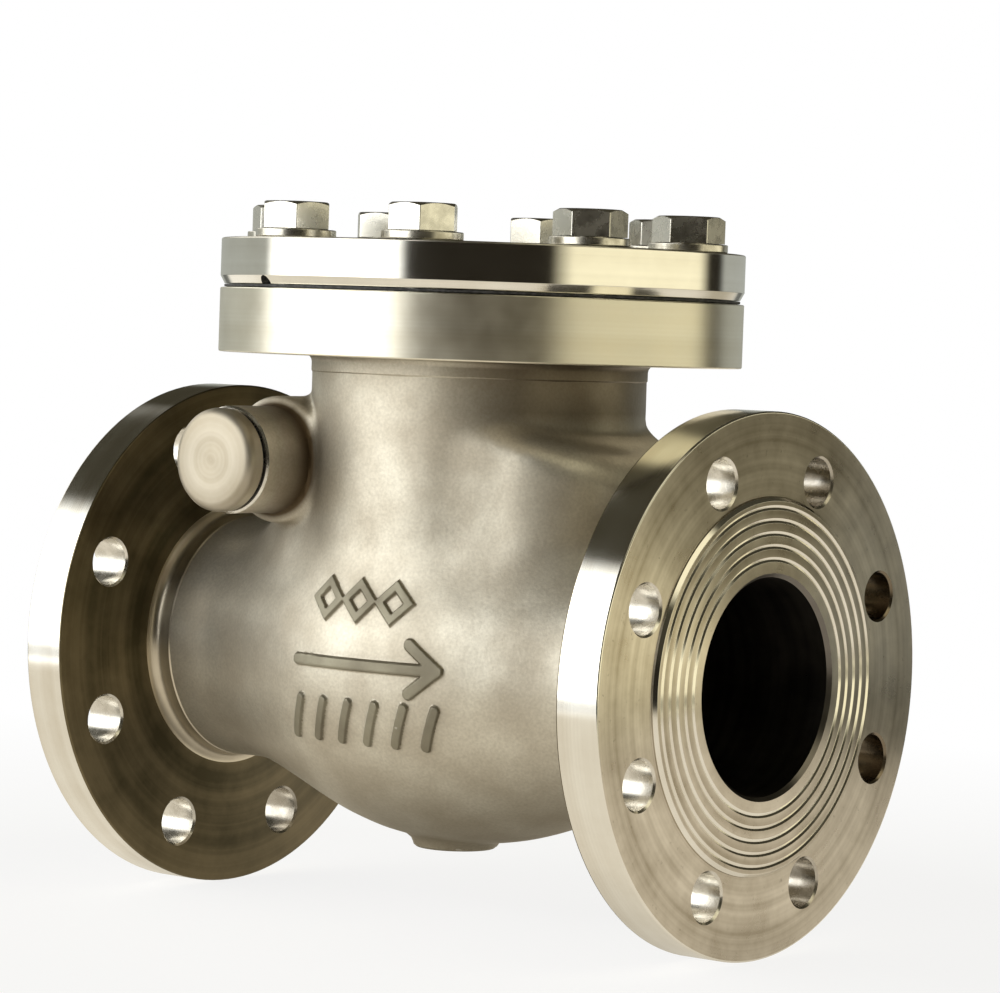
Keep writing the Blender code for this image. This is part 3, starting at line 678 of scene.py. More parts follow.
cast_steel = cast_finish("blasted_casting", (0.74, 0.70, 0.60), (0.56, 0.51, 0.42), 0.46)
# the marks are a darker copy of the casting: painted shade of their steep sides
shaded_mark_steel = cast_finish("grimed_marks", (0.36, 0.34, 0.26), (0.22, 0.20, 0.15), 0.48)
# the cored inside is painted near black: painted shade inside the passage
shaded_core_steel = cast_finish("cored_inside", (0.07, 0.065, 0.06), (0.03, 0.028, 0.025), 0.6, 2.0)
arm_steel = cast_finish("arm_casting", (0.55, 0.52, 0.46), (0.36, 0.33, 0.28), 0.42)
flange_rim = turned_finish("flange_rim", (0.90, 0.88, 0.82), (0.78, 0.74, 0.66), 0.12, "X",
                           streak=0.3)
flange_face = turned_finish("flange_face", (0.72, 0.66, 0.56), (0.38, 0.33, 0.25), 0.29, "X",
                            streak=0.6, tilt=0.26, wear=0.6)
# the flange backs are painted dark brown: painted shade, as they face the body
flange_back = turned_finish("flange_back", (0.185, 0.15, 0.088), (0.072, 0.06, 0.032), 0.34, "X",
                            tilt=0.30)
flange_root = turned_finish("flange_root", (0.74, 0.68, 0.56), (0.54, 0.48, 0.38), 0.30, "X")
# the bores are painted dark: painted shade inside the passage
bored_steel = turned_finish("bored_steel", (0.22, 0.20, 0.18), (0.12, 0.11, 0.10), 0.30, "X")
# the drilled holes take painted shade on the far side
drilled_steel = rolled_finish("drilled_steel", (0.82, 0.79, 0.73), (0.58, 0.54, 0.47), 0.24, 0.9)
neck_rim = turned_finish("neck_rim", (0.88, 0.85, 0.74), (0.76, 0.71, 0.58), 0.31, "Z")
cover_steel = turned_finish("cover_steel", (0.90, 0.88, 0.82), (0.78, 0.75, 0.68), 0.11, "Z",
                            streak=0.3)
cover_top = turned_finish("cover_top", (0.80, 0.77, 0.70), (0.60, 0.57, 0.49), 0.30, "Z",
                          streak=0.7)
plug_steel = turned_finish("plug_steel", (0.50, 0.455, 0.375), (0.37, 0.325, 0.25), 0.42, "Y",
                           centre=(PIN_X, 0.0, PIN_Z))
disc_steel = turned_finish("disc_steel", (0.66, 0.63, 0.58), (0.46, 0.43, 0.38), 0.28, "X")
seat_steel = turned_finish("seat_steel", (0.74, 0.72, 0.68), (0.60, 0.57, 0.52), 0.18, "X")
bolt_steel = rolled_finish("bolt_steel", (0.74, 0.71, 0.64), (0.50, 0.47, 0.39), 0.26)
bronze = turned_finish("bush_bronze", (0.64, 0.42, 0.19), (0.48, 0.30, 0.12), 0.28, "Y",
                       centre=(PIN_X, 0.0, PIN_Z))
graphite = gasket_finish()


# Body

def raised_face_grooves(face, inward):
    """V grooves of the gasket face, as outline points from the inside outwards."""
    pitch, first, depth, half_width = 4.7 * MM, 46.5 * MM, 0.55 * MM, 0.9 * MM
    points = []
    for index in range(5):
        radius = first + pitch * index
        points += [
            (face, radius - half_width, 0.2 * MM, RIM),
            (face + inward * depth, radius, 0.15 * MM, RIM),
            (face, radius + half_width, 0.2 * MM, FACE),
        ]
    return points


def flange_outline(face, inward):
    """A pipe flange from its gasket face at x = face back to the hub. Inward is +1 or -1."""
    step = face + inward * RAISED_FACE_HEIGHT
    back = face + inward * FLANGE_THICKNESS
    run_out = back + inward * 8 * MM
    inside = BORE_RADIUS - 8 * MM
    tool_run_out_radius = HUB_RADIUS + 0.35 * MM
    buried_radius = HUB_RADIUS - 1 * MM
    raised_edge = 1.3 * MM
    return [
        (face, inside, 0.0, FACE),
        *raised_face_grooves(face, inward),
        (face, RAISED_FACE_RADIUS - raised_edge, 0.2 * MM, RIM),
        (face + inward * raised_edge, RAISED_FACE_RADIUS, 0.2 * MM, ROOT),
        (step, RAISED_FACE_RADIUS, 0.4 * MM, FACE),
        (step, FLANGE_RADIUS, EDGE, RIM),
        (back, FLANGE_RADIUS, EDGE, BACK),
        (back, tool_run_out_radius, 6 * MM, ROOT),
        (run_out, tool_run_out_radius, 0.0, ROOT),
        (run_out + inward * 2 * MM, buried_radius, 0.0, CAST),
        (run_out + inward * 2 * MM, inside, 0.0, CAST),
    ]


def flange_solids():
    """The two end flanges, and the flange that carries the cover."""
    neck_run_out = NECK_RADIUS + 0.35 * MM
    inside = NECK_BORE_RADIUS - 8 * MM
    top = [
        (TOP_FLANGE_BOTTOM_Z - 8 * MM, inside, 0.0, CAST),
        (TOP_FLANGE_BOTTOM_Z - 8 * MM, NECK_RADIUS - 1 * MM, 0.0, CAST),
        (TOP_FLANGE_BOTTOM_Z - 6 * MM, neck_run_out, 0.0, CAST),
        (TOP_FLANGE_BOTTOM_Z, neck_run_out, 4 * MM, CAST),
        (TOP_FLANGE_BOTTOM_Z, NECK_RADIUS + 6 * MM, 0.0, NECK),
        (TOP_FLANGE_BOTTOM_Z, FLANGE_RADIUS, EDGE, NECK),
        (TOP_FLANGE_TOP_Z, FLANGE_RADIUS, 0.5 * MM, NECK),
        (TOP_FLANGE_TOP_Z, inside, 0.0, NECK),
    ]
    return merged("flanges", [
        turned("inlet_flange", flange_outline(INLET_FACE_X, 1), 144, ALONG_X),
        turned("outlet_flange", flange_outline(OUTLET_FACE_X, -1), 144, ALONG_X),
        turned("top_flange", top, 144),
    ])


def passage_cutters():
    """Inlet bore with the seat pocket, outlet bore, and the bore up the neck."""
    mouth = 1.5 * MM
    wide = BORE_RADIUS + mouth + PAST
    pocket = seat_box[FAR].y + GAP
    inlet = [
        (INLET_FACE_X - PAST, wide, 0.0, BORE),
        (INLET_FACE_X + mouth, BORE_RADIUS, 0.0, BORE),
        (SEAT_BACK_X - GAP, BORE_RADIUS, 0.0, BORE),
        (SEAT_BACK_X - GAP, pocket, 0.0, BORE),
        (SEAT_FACE_X + PAST, pocket, 0.0, BORE),
    ]
    outlet = [
        (62 * MM, BORE_RADIUS - 0.2 * MM, 0.0, BORE),
        (OUTLET_FACE_X - mouth, BORE_RADIUS, 0.0, BORE),
        (OUTLET_FACE_X + PAST, wide, 0.0, BORE),
    ]
    neck = [
        (TOP_FLANGE_BOTTOM_Z - 12 * MM, NECK_BORE_RADIUS, 0.0, BORE),
        (TOP_FLANGE_TOP_Z - mouth, NECK_BORE_RADIUS, 0.0, BORE),
        (TOP_FLANGE_TOP_Z + PAST, NECK_BORE_RADIUS + mouth + PAST, 0.0, BORE),
    ]
    return merged("passages", [
        turned("inlet_bore", inlet, 96, ALONG_X),
        turned("outlet_bore", outlet, 96, ALONG_X),
        turned("neck_bore", neck, 96),
    ])


def hole_outline(low, high, radius, finish=HOLE):
    """A hole whose ends at low and high are both countersunk a little."""
    wide = radius + MOUTH + PAST
    return [(low - PAST, wide, 0.0, finish), (low + MOUTH, radius, 0.0, finish),
            (high - MOUTH, radius, 0.0, finish), (high + PAST, wide, 0.0, finish)]


def hole_cutters():
    """Flange bolt holes, tapped cover holes, hinge bores with faced ends, and the foot."""
    cutters = []
    ends = (
        (INLET_FACE_X + RAISED_FACE_HEIGHT, INLET_FACE_X + FLANGE_THICKNESS),
        (OUTLET_FACE_X - FLANGE_THICKNESS, OUTLET_FACE_X - RAISED_FACE_HEIGHT),
    )
    for low, high in ends:
        outline = hole_outline(low, high, FLANGE_HOLE_RADIUS)
        for number, centre in circle_of_places():
            cutters.append(turned(f"flange_hole_{number}", outline, 40,
                                  ALONG_X @ Matrix.Translation(centre)))
    bolt_reach = 19.6 * MM
    tapped_radius = 8 * MM
    tapped = [
        (TOP_FLANGE_TOP_Z - bolt_reach, tapped_radius, 0.0, HOLE),
        (TOP_FLANGE_TOP_Z - MOUTH, tapped_radius, 0.0, HOLE),
        (TOP_FLANGE_TOP_Z + PAST, tapped_radius + MOUTH + PAST, 0.0, HOLE),
    ]
    for number, centre in circle_of_places():
        cutters.append(turned(f"tapped_hole_{number}", tapped, 32, Matrix.Translation(centre)))
    bush_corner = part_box("pin_bush_far")[FAR]
    bush_radius, bush_end = bush_corner.x - PIN_X, bush_corner.y
    around_boss = 8 * MM  # how far a facing tool reaches past the boss or foot that it trims
    hinge = [
        (BOSS_ROOT_Y, bush_radius + GAP, 0.0, HOLE),
        (bush_end + GAP, bush_radius + GAP, 0.0, HOLE),
        (bush_end + GAP, PLUG_RADIUS + GAP, 0.0, HOLE),
        (BOSS_END_Y, PLUG_RADIUS + GAP, 0.0, HOLE),
        (BOSS_END_Y, BOSS_RADIUS - 0.8 * MM, 0.0, HOLE),
        (BOSS_END_Y - 1 * MM, BOSS_RADIUS + 0.3 * MM, 0.0, CAST),
        (BOSS_END_Y - 1 * MM, BOSS_RADIUS + around_boss, 0.0, CAST),
        (BOSS_END_Y + 8 * MM, BOSS_RADIUS + around_boss, 0.0, CAST),
    ]
    for turn in (TOWARDS_NEAR, TOWARDS_FAR):
        cutters.append(turned("hinge_bore", hinge, 64, PIN_PLACE @ turn))
    foot = [
        (FOOT_Z - 10 * MM, FOOT_RADIUS + around_boss, 0.0, CAST),
        (FOOT_Z + 0.8 * MM, FOOT_RADIUS + around_boss, 0.0, CAST),
        (FOOT_Z + 0.8 * MM, FOOT_RADIUS + 0.2 * MM, 0.0, CAST),
        (FOOT_Z, FOOT_RADIUS - 0.8 * MM, 0.0, HOLE),
    ]
    cutters.append(turned("foot_face", foot, 48, Matrix.Translation((FOOT_X, 0, 0))))
    return merged("holes", cutters)


def bar(points, first, last, half_width):
    """Distance from points in the plane to a straight stroke with round ends."""
    first, last = np.array(first), np.array(last)
    along = last - first
    share = np.clip(((points - first) @ along) / (along @ along), 0, 1)
    return np.linalg.norm(points - first - share[:, None] * along, axis=1) - half_width


def diamond(points, centre, half_diagonal, half_width):
    """Distance from points in the plane to the outline of a square stood on its corner."""
    distance = np.abs(points - np.array(centre)).sum(axis=1) - half_diagonal
    return np.abs(distance) / math.sqrt(2) - half_width


def mark_strokes(points):
    """Plain foundry marks on the near side: diamonds, a flow arrow, and slanted tally bars."""
    half = 1.8 * MM
    tip, tail, barb = (38 * MM, 0.5 * MM), (-27 * MM, 0.5 * MM), 9 * MM
    strokes = [bar(points, tail, tip, 1.2 * half)]
    for side in (-1, 1):
        strokes.append(bar(points, tip, (tip[0] - 1.3 * barb, tip[1] + side * barb), 1.2 * half))
    diamond_z, diamond_pitch = 24 * MM, 15.5 * MM
    for index in range(3):
        centre = (-14 * MM + diamond_pitch * index, diamond_z)
        strokes.append(diamond(points, centre, 6.2 * MM, half * 0.9))
    tally_z, tally_half, tally_pitch, slant = -21 * MM, 7 * MM, 12.5 * MM, 3 * MM
    for index in range(6):
        x = -29 * MM + tally_pitch * index
        strokes.append(bar(points, (x - slant, tally_z - tally_half),
                           (x + slant, tally_z + tally_half), half))
    return np.min(strokes, axis=0)


def refined(mesh, chosen, cuts):
    """Splits the chosen faces of the casting and moves all points onto its true surface."""
    shape = bmesh.new()
    shape.from_mesh(mesh)
    edges = set()
    for face in shape.faces:
        if chosen(face.calc_center_median(), face.normal):
            edges.update(face.edges)
    bmesh.ops.subdivide_edges(shape, edges=list(edges), cuts=cuts, use_grid_fill=True)
    shape.to_mesh(mesh)
    shape.free()
    points = np.empty(len(mesh.vertices) * 3)
    mesh.vertices.foreach_get("co", points)
    return settled(points.reshape(-1, 3), cast_outside, 2)


def near_boss(centre, _normal):
    away = math.hypot(centre.x - PIN_X, centre.z - PIN_Z)
    return abs(centre.y) > BOSS_ROOT_Y - 6 * MM and away < BOSS_PAD_RADIUS + 8 * MM


def near_marks(centre, normal):
    in_rows = -39 * MM < centre.x < 46 * MM and -33 * MM < centre.z < 36 * MM
    faces_near_side = normal.y <= -0.3
    margin = 3.5 * MM
    return (faces_near_side and in_rows
            and mark_strokes(np.array([[centre.x, centre.z]]))[0] < margin)


def raise_marks(mesh):
    """Lifts the foundry marks out of the near side of the bulb."""
    points = refined(mesh, near_marks, 5)
    near = (points[:, 1] < -40 * MM) & (np.abs(points[:, 0]) < 52 * MM)
    distance = mark_strokes(points[near][:, [0, 2]])
    height, draft = 1.3 * MM, 0.9 * MM
    share = np.clip(0.5 - distance / draft, 0, 1)
    share = share * share * (3 - 2 * share)
    outward = slope_of(cast_outside, points[near])
    outward /= np.linalg.norm(outward, axis=1, keepdims=True)
    points[near] += outward * (height * share)[:, None]
    mesh.vertices.foreach_set("co", points.ravel())
    mesh.update()
    raised = np.zeros(len(points))
    raised[near] = share
    # the raised marks take the darker finish, which is painted shade
    for face in mesh.polygons:
        if raised[list(face.vertices)].mean() > 0.25:
            face.material_index = MARK


def make_body():
    casting_low, casting_high = (-0.136, -0.090, -0.082), (0.134, 0.090, 0.132)
    skin = skin_mesh("casting", cast_outside, casting_low, casting_high, 2.6 * MM, CAST)
    points = refined(skin, near_boss, 1)
    skin.vertices.foreach_set("co", points.ravel())
    raise_marks(skin)
    core_low, core_high = (-0.084, -0.066, -0.066), (0.094, 0.066, 0.120)
    core = skin_mesh("core", cast_inside, core_low, core_high, 3.0 * MM, INSIDE)
    finishes = [cast_steel, shaded_mark_steel, flange_rim, flange_face, flange_back, flange_root,
                bored_steel, drilled_steel, shaded_core_steel, neck_rim]
    mesh = carved(skin, [
        ("UNION", flange_solids()),
        ("DIFFERENCE", core),
        ("DIFFERENCE", passage_cutters()),
        ("DIFFERENCE", hole_cutters()),
    ], finishes)
    add_piece("cast_body", mesh, finishes, "body", "valve_body")


# Cover, gasket, bolts and washers

def make_cover():
    low, high = cover_box[NEAR].z - FLOW_CENTRE.z, cover_box[FAR].z - FLOW_CENTRE.z
    spigot_depth = 4 * MM
    under = low + spigot_depth
    spigot = NECK_BORE_RADIUS - 2 * GAP
    skirt_height, skirt_depth = 3 * MM, 1.6 * MM
    side, top = 0, 1
    outline = [
        (low, spigot - 8 * MM, 0.0, side),
        (low, spigot, EDGE, side),
        (under, spigot, 0.4 * MM, side),
        (under, FLANGE_RADIUS - skirt_depth, 0.0, side),
        (under + skirt_height, FLANGE_RADIUS, 0.5 * MM, side),
        (high, FLANGE_RADIUS, EDGE, top),
        (high, 20 * MM, 0.0, top),
    ]
    cutters = [
        turned(f"cover_hole_{number}", hole_outline(under, high, FLANGE_HOLE_RADIUS, top), 40,
               Matrix.Translation(centre))
        for number, centre in circle_of_places()
    ]
    notch_radius, notch_depth = 3 * MM, 6 * MM
    for angle in (math.radians(-105), math.radians(75)):
        notch = [
            (FLANGE_RADIUS - notch_depth, notch_radius),
            (FLANGE_RADIUS + PAST, notch_radius),
        ]
        turn = Matrix.Translation((0, 0, under)) @ Matrix.Rotation(angle, 4, "Z") @ ALONG_X
        cutters.append(turned("pry_notch", notch, 24, turn))
    finishes = [cover_steel, cover_top]
    mesh = carved(turned("top_cover", outline, 160),
                  [("DIFFERENCE", merged("cover_cuts", cutters))], finishes)
    add_piece("top_cover", mesh, finishes, "cover", "valve_body")


def make_cover_seal():
    low, high = (corner.z - FLOW_CENTRE.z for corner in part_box("cover_gasket"))
    inner, outer, edge = 56.5 * MM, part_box("cover_gasket")[FAR].y, 0.1 * MM
    outline = [(low, inner, edge), (low, outer, edge), (high, outer, edge), (high, inner, edge)]
    hole = [(low - PAST, FLANGE_HOLE_RADIUS), (high + PAST, FLANGE_HOLE_RADIUS)]
    cutters = [turned(f"seal_hole_{number}", hole, 40, Matrix.Translation(centre))
               for number, centre in circle_of_places()]
    mesh = carved(turned("cover_seal", outline, 128, ring=True),
                  [("DIFFERENCE", merged("seal_cuts", cutters))])
    add_piece("cover_seal", mesh, [graphite], "cover_gasket", "valve_body")


def make_ring(name, node, body, finish, inner, rounding, axis="Z", facets=96):
    """A plain ring that fills a node's box, such as a washer, a bush or a gasket."""
    low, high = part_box(node)
    middle = (low + high) / 2 - FLOW_CENTRE
    index = "XYZ".index(axis)
    outer = (high - low)[(index + 1) % 3] / 2
    half = (high - low)[index] / 2
    outline = [(-half, inner, rounding), (-half, outer, rounding),
               (half, outer, rounding), (half, inner, rounding)]
    turn = {"X": ALONG_X, "Y": TOWARDS_FAR, "Z": ALONG_Z}[axis]
    mesh = turned(name, outline, facets, Matrix.Translation(middle) @ turn, ring=True)
    add_piece(name, mesh, [finish], node, body)


def hexagon(across_corners):
    """Points round a hexagon whose corners are a little rounded."""
    corner_round, steps = 0.5 * MM, 4
    points = []
    inner = across_corners / 2 - corner_round / math.cos(math.pi / 6)
    for corner in range(6):
        middle = corner * math.pi / 3
        for step in range(steps + 1):
            angle = middle + math.pi / 3 * (step / steps - 0.5)
            points.append(Vector((
                inner * math.cos(middle) + corner_round * math.cos(angle),
                inner * math.sin(middle) + corner_round * math.sin(angle),
            )))
    return points


def hex_solid(name, low, high, across_corners, chamfer_low=False):
    """A hexagon block with the round chamfer of a bolt head, on one side or on both."""
    corners = hexagon(across_corners)
    around = []
    for here, after in zip(corners, corners[1:] + corners[:1]):
        splits = 6 if (after - here).length > 5 * MM else 1  # only the flats are split
        around += [here.lerp(after, step / splits) for step in range(splits)]
    across_flats = across_corners * math.cos(math.pi / 6)
    circle = across_flats / 2 * 0.96
    fall = math.tan(math.radians(30))
    shape = bmesh.new()

    def loop(radius_rule, height_rule):
        return [shape.verts.new((*(point.normalized() * radius_rule(point.length)),
                                 height_rule(point.length))) for point in around]

    top_side = loop(lambda r: r, lambda r: high - max(r - circle, 0.0) * fall)
    top_circle = loop(lambda r: circle, lambda r: high)
    if chamfer_low:
        low_side = loop(lambda r: r, lambda r: low + max(r - circle, 0.0) * fall)
        low_circle = loop(lambda r: circle, lambda r: low)
        join_loops(shape, low_circle, low_side)
        shape.faces.new(low_circle)
    else:
        low_side = loop(lambda r: r, lambda r: low)
        shape.faces.new(low_side)
    join_loops(shape, low_side, top_side)
    join_loops(shape, top_side, top_circle)
    shape.faces.new(top_circle)
    return to_mesh(shape, name)


def make_cover_bolts():
    washer_bore = 8.3 * MM
    shank_radius = 7.7 * MM
    washer_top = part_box("bolt_washer_1")[FAR].z - FLOW_CENTRE.z
    bolt_low, bolt_high = (corner.z - FLOW_CENTRE.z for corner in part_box("cover_bolt_1"))
    head_low = washer_top + GAP
    across_corners = 27.7 * MM
    head_turns = (36, 27, 8, 14, 25, 12, 5, 38)  # degrees, where tightening left each head
    shank = [
        (bolt_low, shank_radius - 1 * MM),
        (bolt_low + 1 * MM, shank_radius),
        (head_low + PAST, shank_radius),
    ]
    for number, centre in circle_of_places():
        head = hex_solid("bolt_head", head_low, bolt_high, across_corners)
        turn = math.radians(head_turns[number - 1])
        mesh = carved(head, [("UNION", turned("bolt_shank", shank, 40))])
        mesh.transform(Matrix.Translation(centre) @ Matrix.Rotation(turn, 4, "Z"))
        add_piece(f"hex_bolt_{number}", mesh, [bolt_steel], f"cover_bolt_{number}", "valve_body")
        make_ring(f"flat_washer_{number}", f"bolt_washer_{number}", "valve_body",
                  bolt_steel, washer_bore, 0.4 * MM, facets=64)


# Hinge pin, bushes and plugs

def make_hinge_pieces():
    pin_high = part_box("hinge_pin")[FAR]
    pin_radius, pin_end, edge = pin_high.x - PIN_X, pin_high.y, 1 * MM
    pin = [(-pin_end, pin_radius - edge), (-pin_end + edge, pin_radius),
           (pin_end - edge, pin_radius), (pin_end, pin_radius - edge)]
    add_piece("pivot_pin", turned("pivot_pin", pin, 48, PIN_PLACE @ TOWARDS_FAR), [seat_steel],
              "hinge_pin", "valve_body")
    for side, turn in (("near", TOWARDS_NEAR), ("far", TOWARDS_FAR)):
        make_ring(f"bush_{side}", f"pin_bush_{side}", "valve_body", bronze,
                  pin_radius + GAP, 0.3 * MM, "Y", 64)
        make_ring(f"plug_seal_{side}", f"plug_gasket_{side}", "valve_body", graphite,
                  PLUG_RADIUS + GAP, 0.2 * MM, "Y", 64)
        low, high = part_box(f"pin_plug_{side}")
        head_radius = high.x - PIN_X
        outer, inner = max(abs(low.y), abs(high.y)), min(abs(low.y), abs(high.y))
        head_low = BOSS_END_Y + 1.8 * MM
        crown = 4.5 * MM
        plug = [
            (inner, PLUG_RADIUS - edge),
            (inner + edge, PLUG_RADIUS),
            (head_low, PLUG_RADIUS),
            (head_low, head_radius, 0.4 * MM),
            (outer - 0.4 * MM, head_radius, crown),
            (outer, head_radius * 0.55, 12 * MM),
            (outer, 2 * MM),
        ]
        add_piece(f"plug_{side}", turned("plug", plug, 96, PIN_PLACE @ turn), [plug_steel],
                  f"pin_plug_{side}", "valve_body")


# Seat, arm and disc

def make_seat():
    inner = 39.5 * MM
    outer = seat_box[FAR].y
    outline = [
        (SEAT_BACK_X, inner, EDGE),
        (SEAT_BACK_X, outer, EDGE),
        (SEAT_FACE_X, outer, 1.2 * MM),
        (SEAT_FACE_X, outer - 3 * MM, 0.0),
        (SEAT_FACE_X - 0.4 * MM, outer - 3.4 * MM, 0.0),
        (SEAT_FACE_X, outer - 3.8 * MM, 0.0),
        (SEAT_FACE_X, inner, EDGE),
    ]
    mesh = turned("seat", outline, 144, ALONG_X, ring=True)
    add_piece("seat", mesh, [seat_steel], "seat_ring", "valve_body")


EYE_FRONT_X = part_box("hinge_arm")[FAR].x
EYE_BACK_X = EYE_FRONT_X - 12 * MM
ARM_HUB_HALF_LENGTH = 24 * MM
STEM_RADIUS = 7.5 * MM


def arm_outside(points):
    """The swing arm's casting: hub on the pin, cranked web, and the eye for the stem."""
    x, y, z = points.T
    side = np.stack((x, z), axis=1)
    middle_x = (EYE_BACK_X + EYE_FRONT_X) / 2
    elbow = (middle_x, PIN_Z - 24 * MM)
    hub = common(rod(points, 1, 11 * MM, (PIN_X, 0, PIN_Z)), np.abs(y) - ARM_HUB_HALF_LENGTH,
                 1.5 * MM)
    eye = common(rod(points, 0, 16.5 * MM), slab(points, 0, EYE_BACK_X, EYE_FRONT_X), 1.5 * MM)
    upper = bar(side, (PIN_X, PIN_Z), elbow, 4.3 * MM)
    lower = bar(side, elbow, (middle_x, 0.0), 5.2 * MM)
    narrowing = 9.5 * MM + 3 * MM * np.clip(1 - np.abs(PIN_Z - z) / (24 * MM), 0, 1)
    web = common(joined(upper, lower, 8 * MM), np.abs(y) - narrowing, 2.5 * MM)
    return joined(joined(web, hub, 4 * MM), eye, 3 * MM)


def make_arm():
    arm_low, arm_high = (-0.072, -0.028, -0.022), (-0.018, 0.028, 0.090)
    mesh = skin_mesh("arm", arm_outside, arm_low, arm_high, 1.2 * MM)
    pin_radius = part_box("hinge_pin")[FAR].x - PIN_X
    hub_bore = hole_outline(-ARM_HUB_HALF_LENGTH, ARM_HUB_HALF_LENGTH, pin_radius + GAP)
    eye_bore = hole_outline(EYE_BACK_X, EYE_FRONT_X, STEM_RADIUS + GAP)
    mesh = carved(mesh, [
        ("DIFFERENCE", turned("hub_bore", hub_bore, 48, PIN_PLACE @ TOWARDS_FAR)),
        ("DIFFERENCE", turned("eye_bore", eye_bore, 48, ALONG_X)),
    ])
    add_piece("arm_casting", mesh, [arm_steel], "hinge_arm", "swing_arm")


def threaded(low, high, radius):
    """Outline points of a thread's crests and roots between two heights."""
    pitch, depth = 2 * MM, 1.0 * MM
    turns = int((high - low) / pitch)
    points = []
    for index in range(turns):
        start = low + index * pitch
        points += [(start, radius), (start + 0.15 * pitch, radius),
                   (start + 0.5 * pitch, radius - depth), (start + 0.85 * pitch, radius)]
    return points


def make_disc():
    back, front = disc_box[NEAR].x, disc_box[NEAR].x + 9.5 * MM
    radius = disc_box[FAR].y
    hub_radius, hub_high = 12.5 * MM, front + 3.5 * MM
    stem_end = disc_box[FAR].x
    outline = [
        (back, 8 * MM),
        (back, radius, 1.5 * MM),
        (front - 2 * MM, radius, 1.0 * MM),
        (front, radius - 5 * MM, 3 * MM),
        (front - 1.2 * MM, radius - 12 * MM, 8 * MM),
        (front, hub_radius, 2.5 * MM),
        (hub_high, hub_radius, 0.8 * MM),
        (hub_high, STEM_RADIUS, 0.0),
        *threaded(EYE_FRONT_X + 1 * MM, stem_end - 1.6 * MM, STEM_RADIUS),
        (stem_end - 1.5 * MM, STEM_RADIUS),
        (stem_end, STEM_RADIUS - 1.5 * MM),
    ]
    pin_radius = 1.7 * MM
    hole = [(-STEM_RADIUS - PAST, pin_radius), (STEM_RADIUS + PAST, pin_radius)]
    pin_low, pin_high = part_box("split_pin")
    pin_x = (pin_low.x + pin_high.x) / 2
    mesh = carved(turned("flap", outline, 128, ALONG_X), [
        ("DIFFERENCE", turned("pin_hole", hole, 24, Matrix.Translation((pin_x, 0, 0)))),
    ])
    add_piece("flap_disc", mesh, [disc_steel], "disc", "flap")
    return pin_x


def make_stem_pieces(pin_x):
    make_ring("stem_washer", "disc_washer", "flap", bolt_steel,
              STEM_RADIUS + GAP, 0.4 * MM, "X", 64)
    low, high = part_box("disc_nut")
    nut = hex_solid("stem_nut", low.x, high.x, 26.5 * MM, chamfer_low=True)
    nut.transform(ALONG_X)
    bore = hole_outline(low.x, high.x, STEM_RADIUS + GAP)
    nut = carved(nut, [("DIFFERENCE", turned("nut_bore", bore, 48, ALONG_X))])
    add_piece("stem_nut", nut, [bolt_steel], "disc_nut", "flap")
    add_piece("cotter", split_pin_mesh(pin_x), [seat_steel], "split_pin", "flap")


def split_pin_mesh(pin_x):
    """A bent wire: a splayed leg, up through the stem, round the eye, and down again."""
    wire = 0.68 * MM
    top, eye_radius, turn_z, tip_z = 8.6 * MM, 2.1 * MM, -9.2 * MM, -12.3 * MM
    path = [(-4.2 * MM, tip_z), (-2.2 * MM, turn_z - 1.2 * MM), (-wire, turn_z), (-wire, top)]
    eye_z, eye_start, eye_sweep, eye_steps = top + 2.4 * MM, -65, 310, 12
    for step in range(1, eye_steps):
        angle = math.radians(eye_start - eye_sweep * step / eye_steps)
        path.append((eye_radius * math.sin(angle), eye_z - eye_radius * math.cos(angle)))
    path += [(wire, top), (wire, turn_z), (2.2 * MM, turn_z - 1.2 * MM), (4.2 * MM, tip_z)]
    facets = 12
    shape = bmesh.new()
    loops = []
    for index, (y, z) in enumerate(path):
        before = Vector(path[max(index - 1, 0)])
        after = Vector(path[min(index + 1, len(path) - 1)])
        along = (after - before).normalized()
        across = Vector((0.0, -along.y, along.x))
        loop = []
        for step in range(facets):
            angle = 2 * math.pi * step / facets
            offset = across * math.cos(angle) + Vector((1.0, 0.0, 0.0)) * math.sin(angle)
            loop.append(shape.verts.new(Vector((pin_x, y, z)) + offset * wire))
        loops.append(loop)
    for first, second in zip(loops, loops[1:]):
        join_loops(shape, first, second)
    shape.faces.new(loops[0])
    shape.faces.new(loops[-1])
    return to_mesh(shape, "cotter")


# Studio

def glow(tree, strength, colour=(1.0, 1.0, 1.0, 1.0)):
    inputs = {"Strength": strength, "Color": colour}
    return add_node(tree, "ShaderNodeEmission", inputs).outputs[0]


def mix_surfaces(tree, share, first, second):
    return add_node(tree, "ShaderNodeMixShader", {0: share, 1: first, 2: second}).outputs[0]


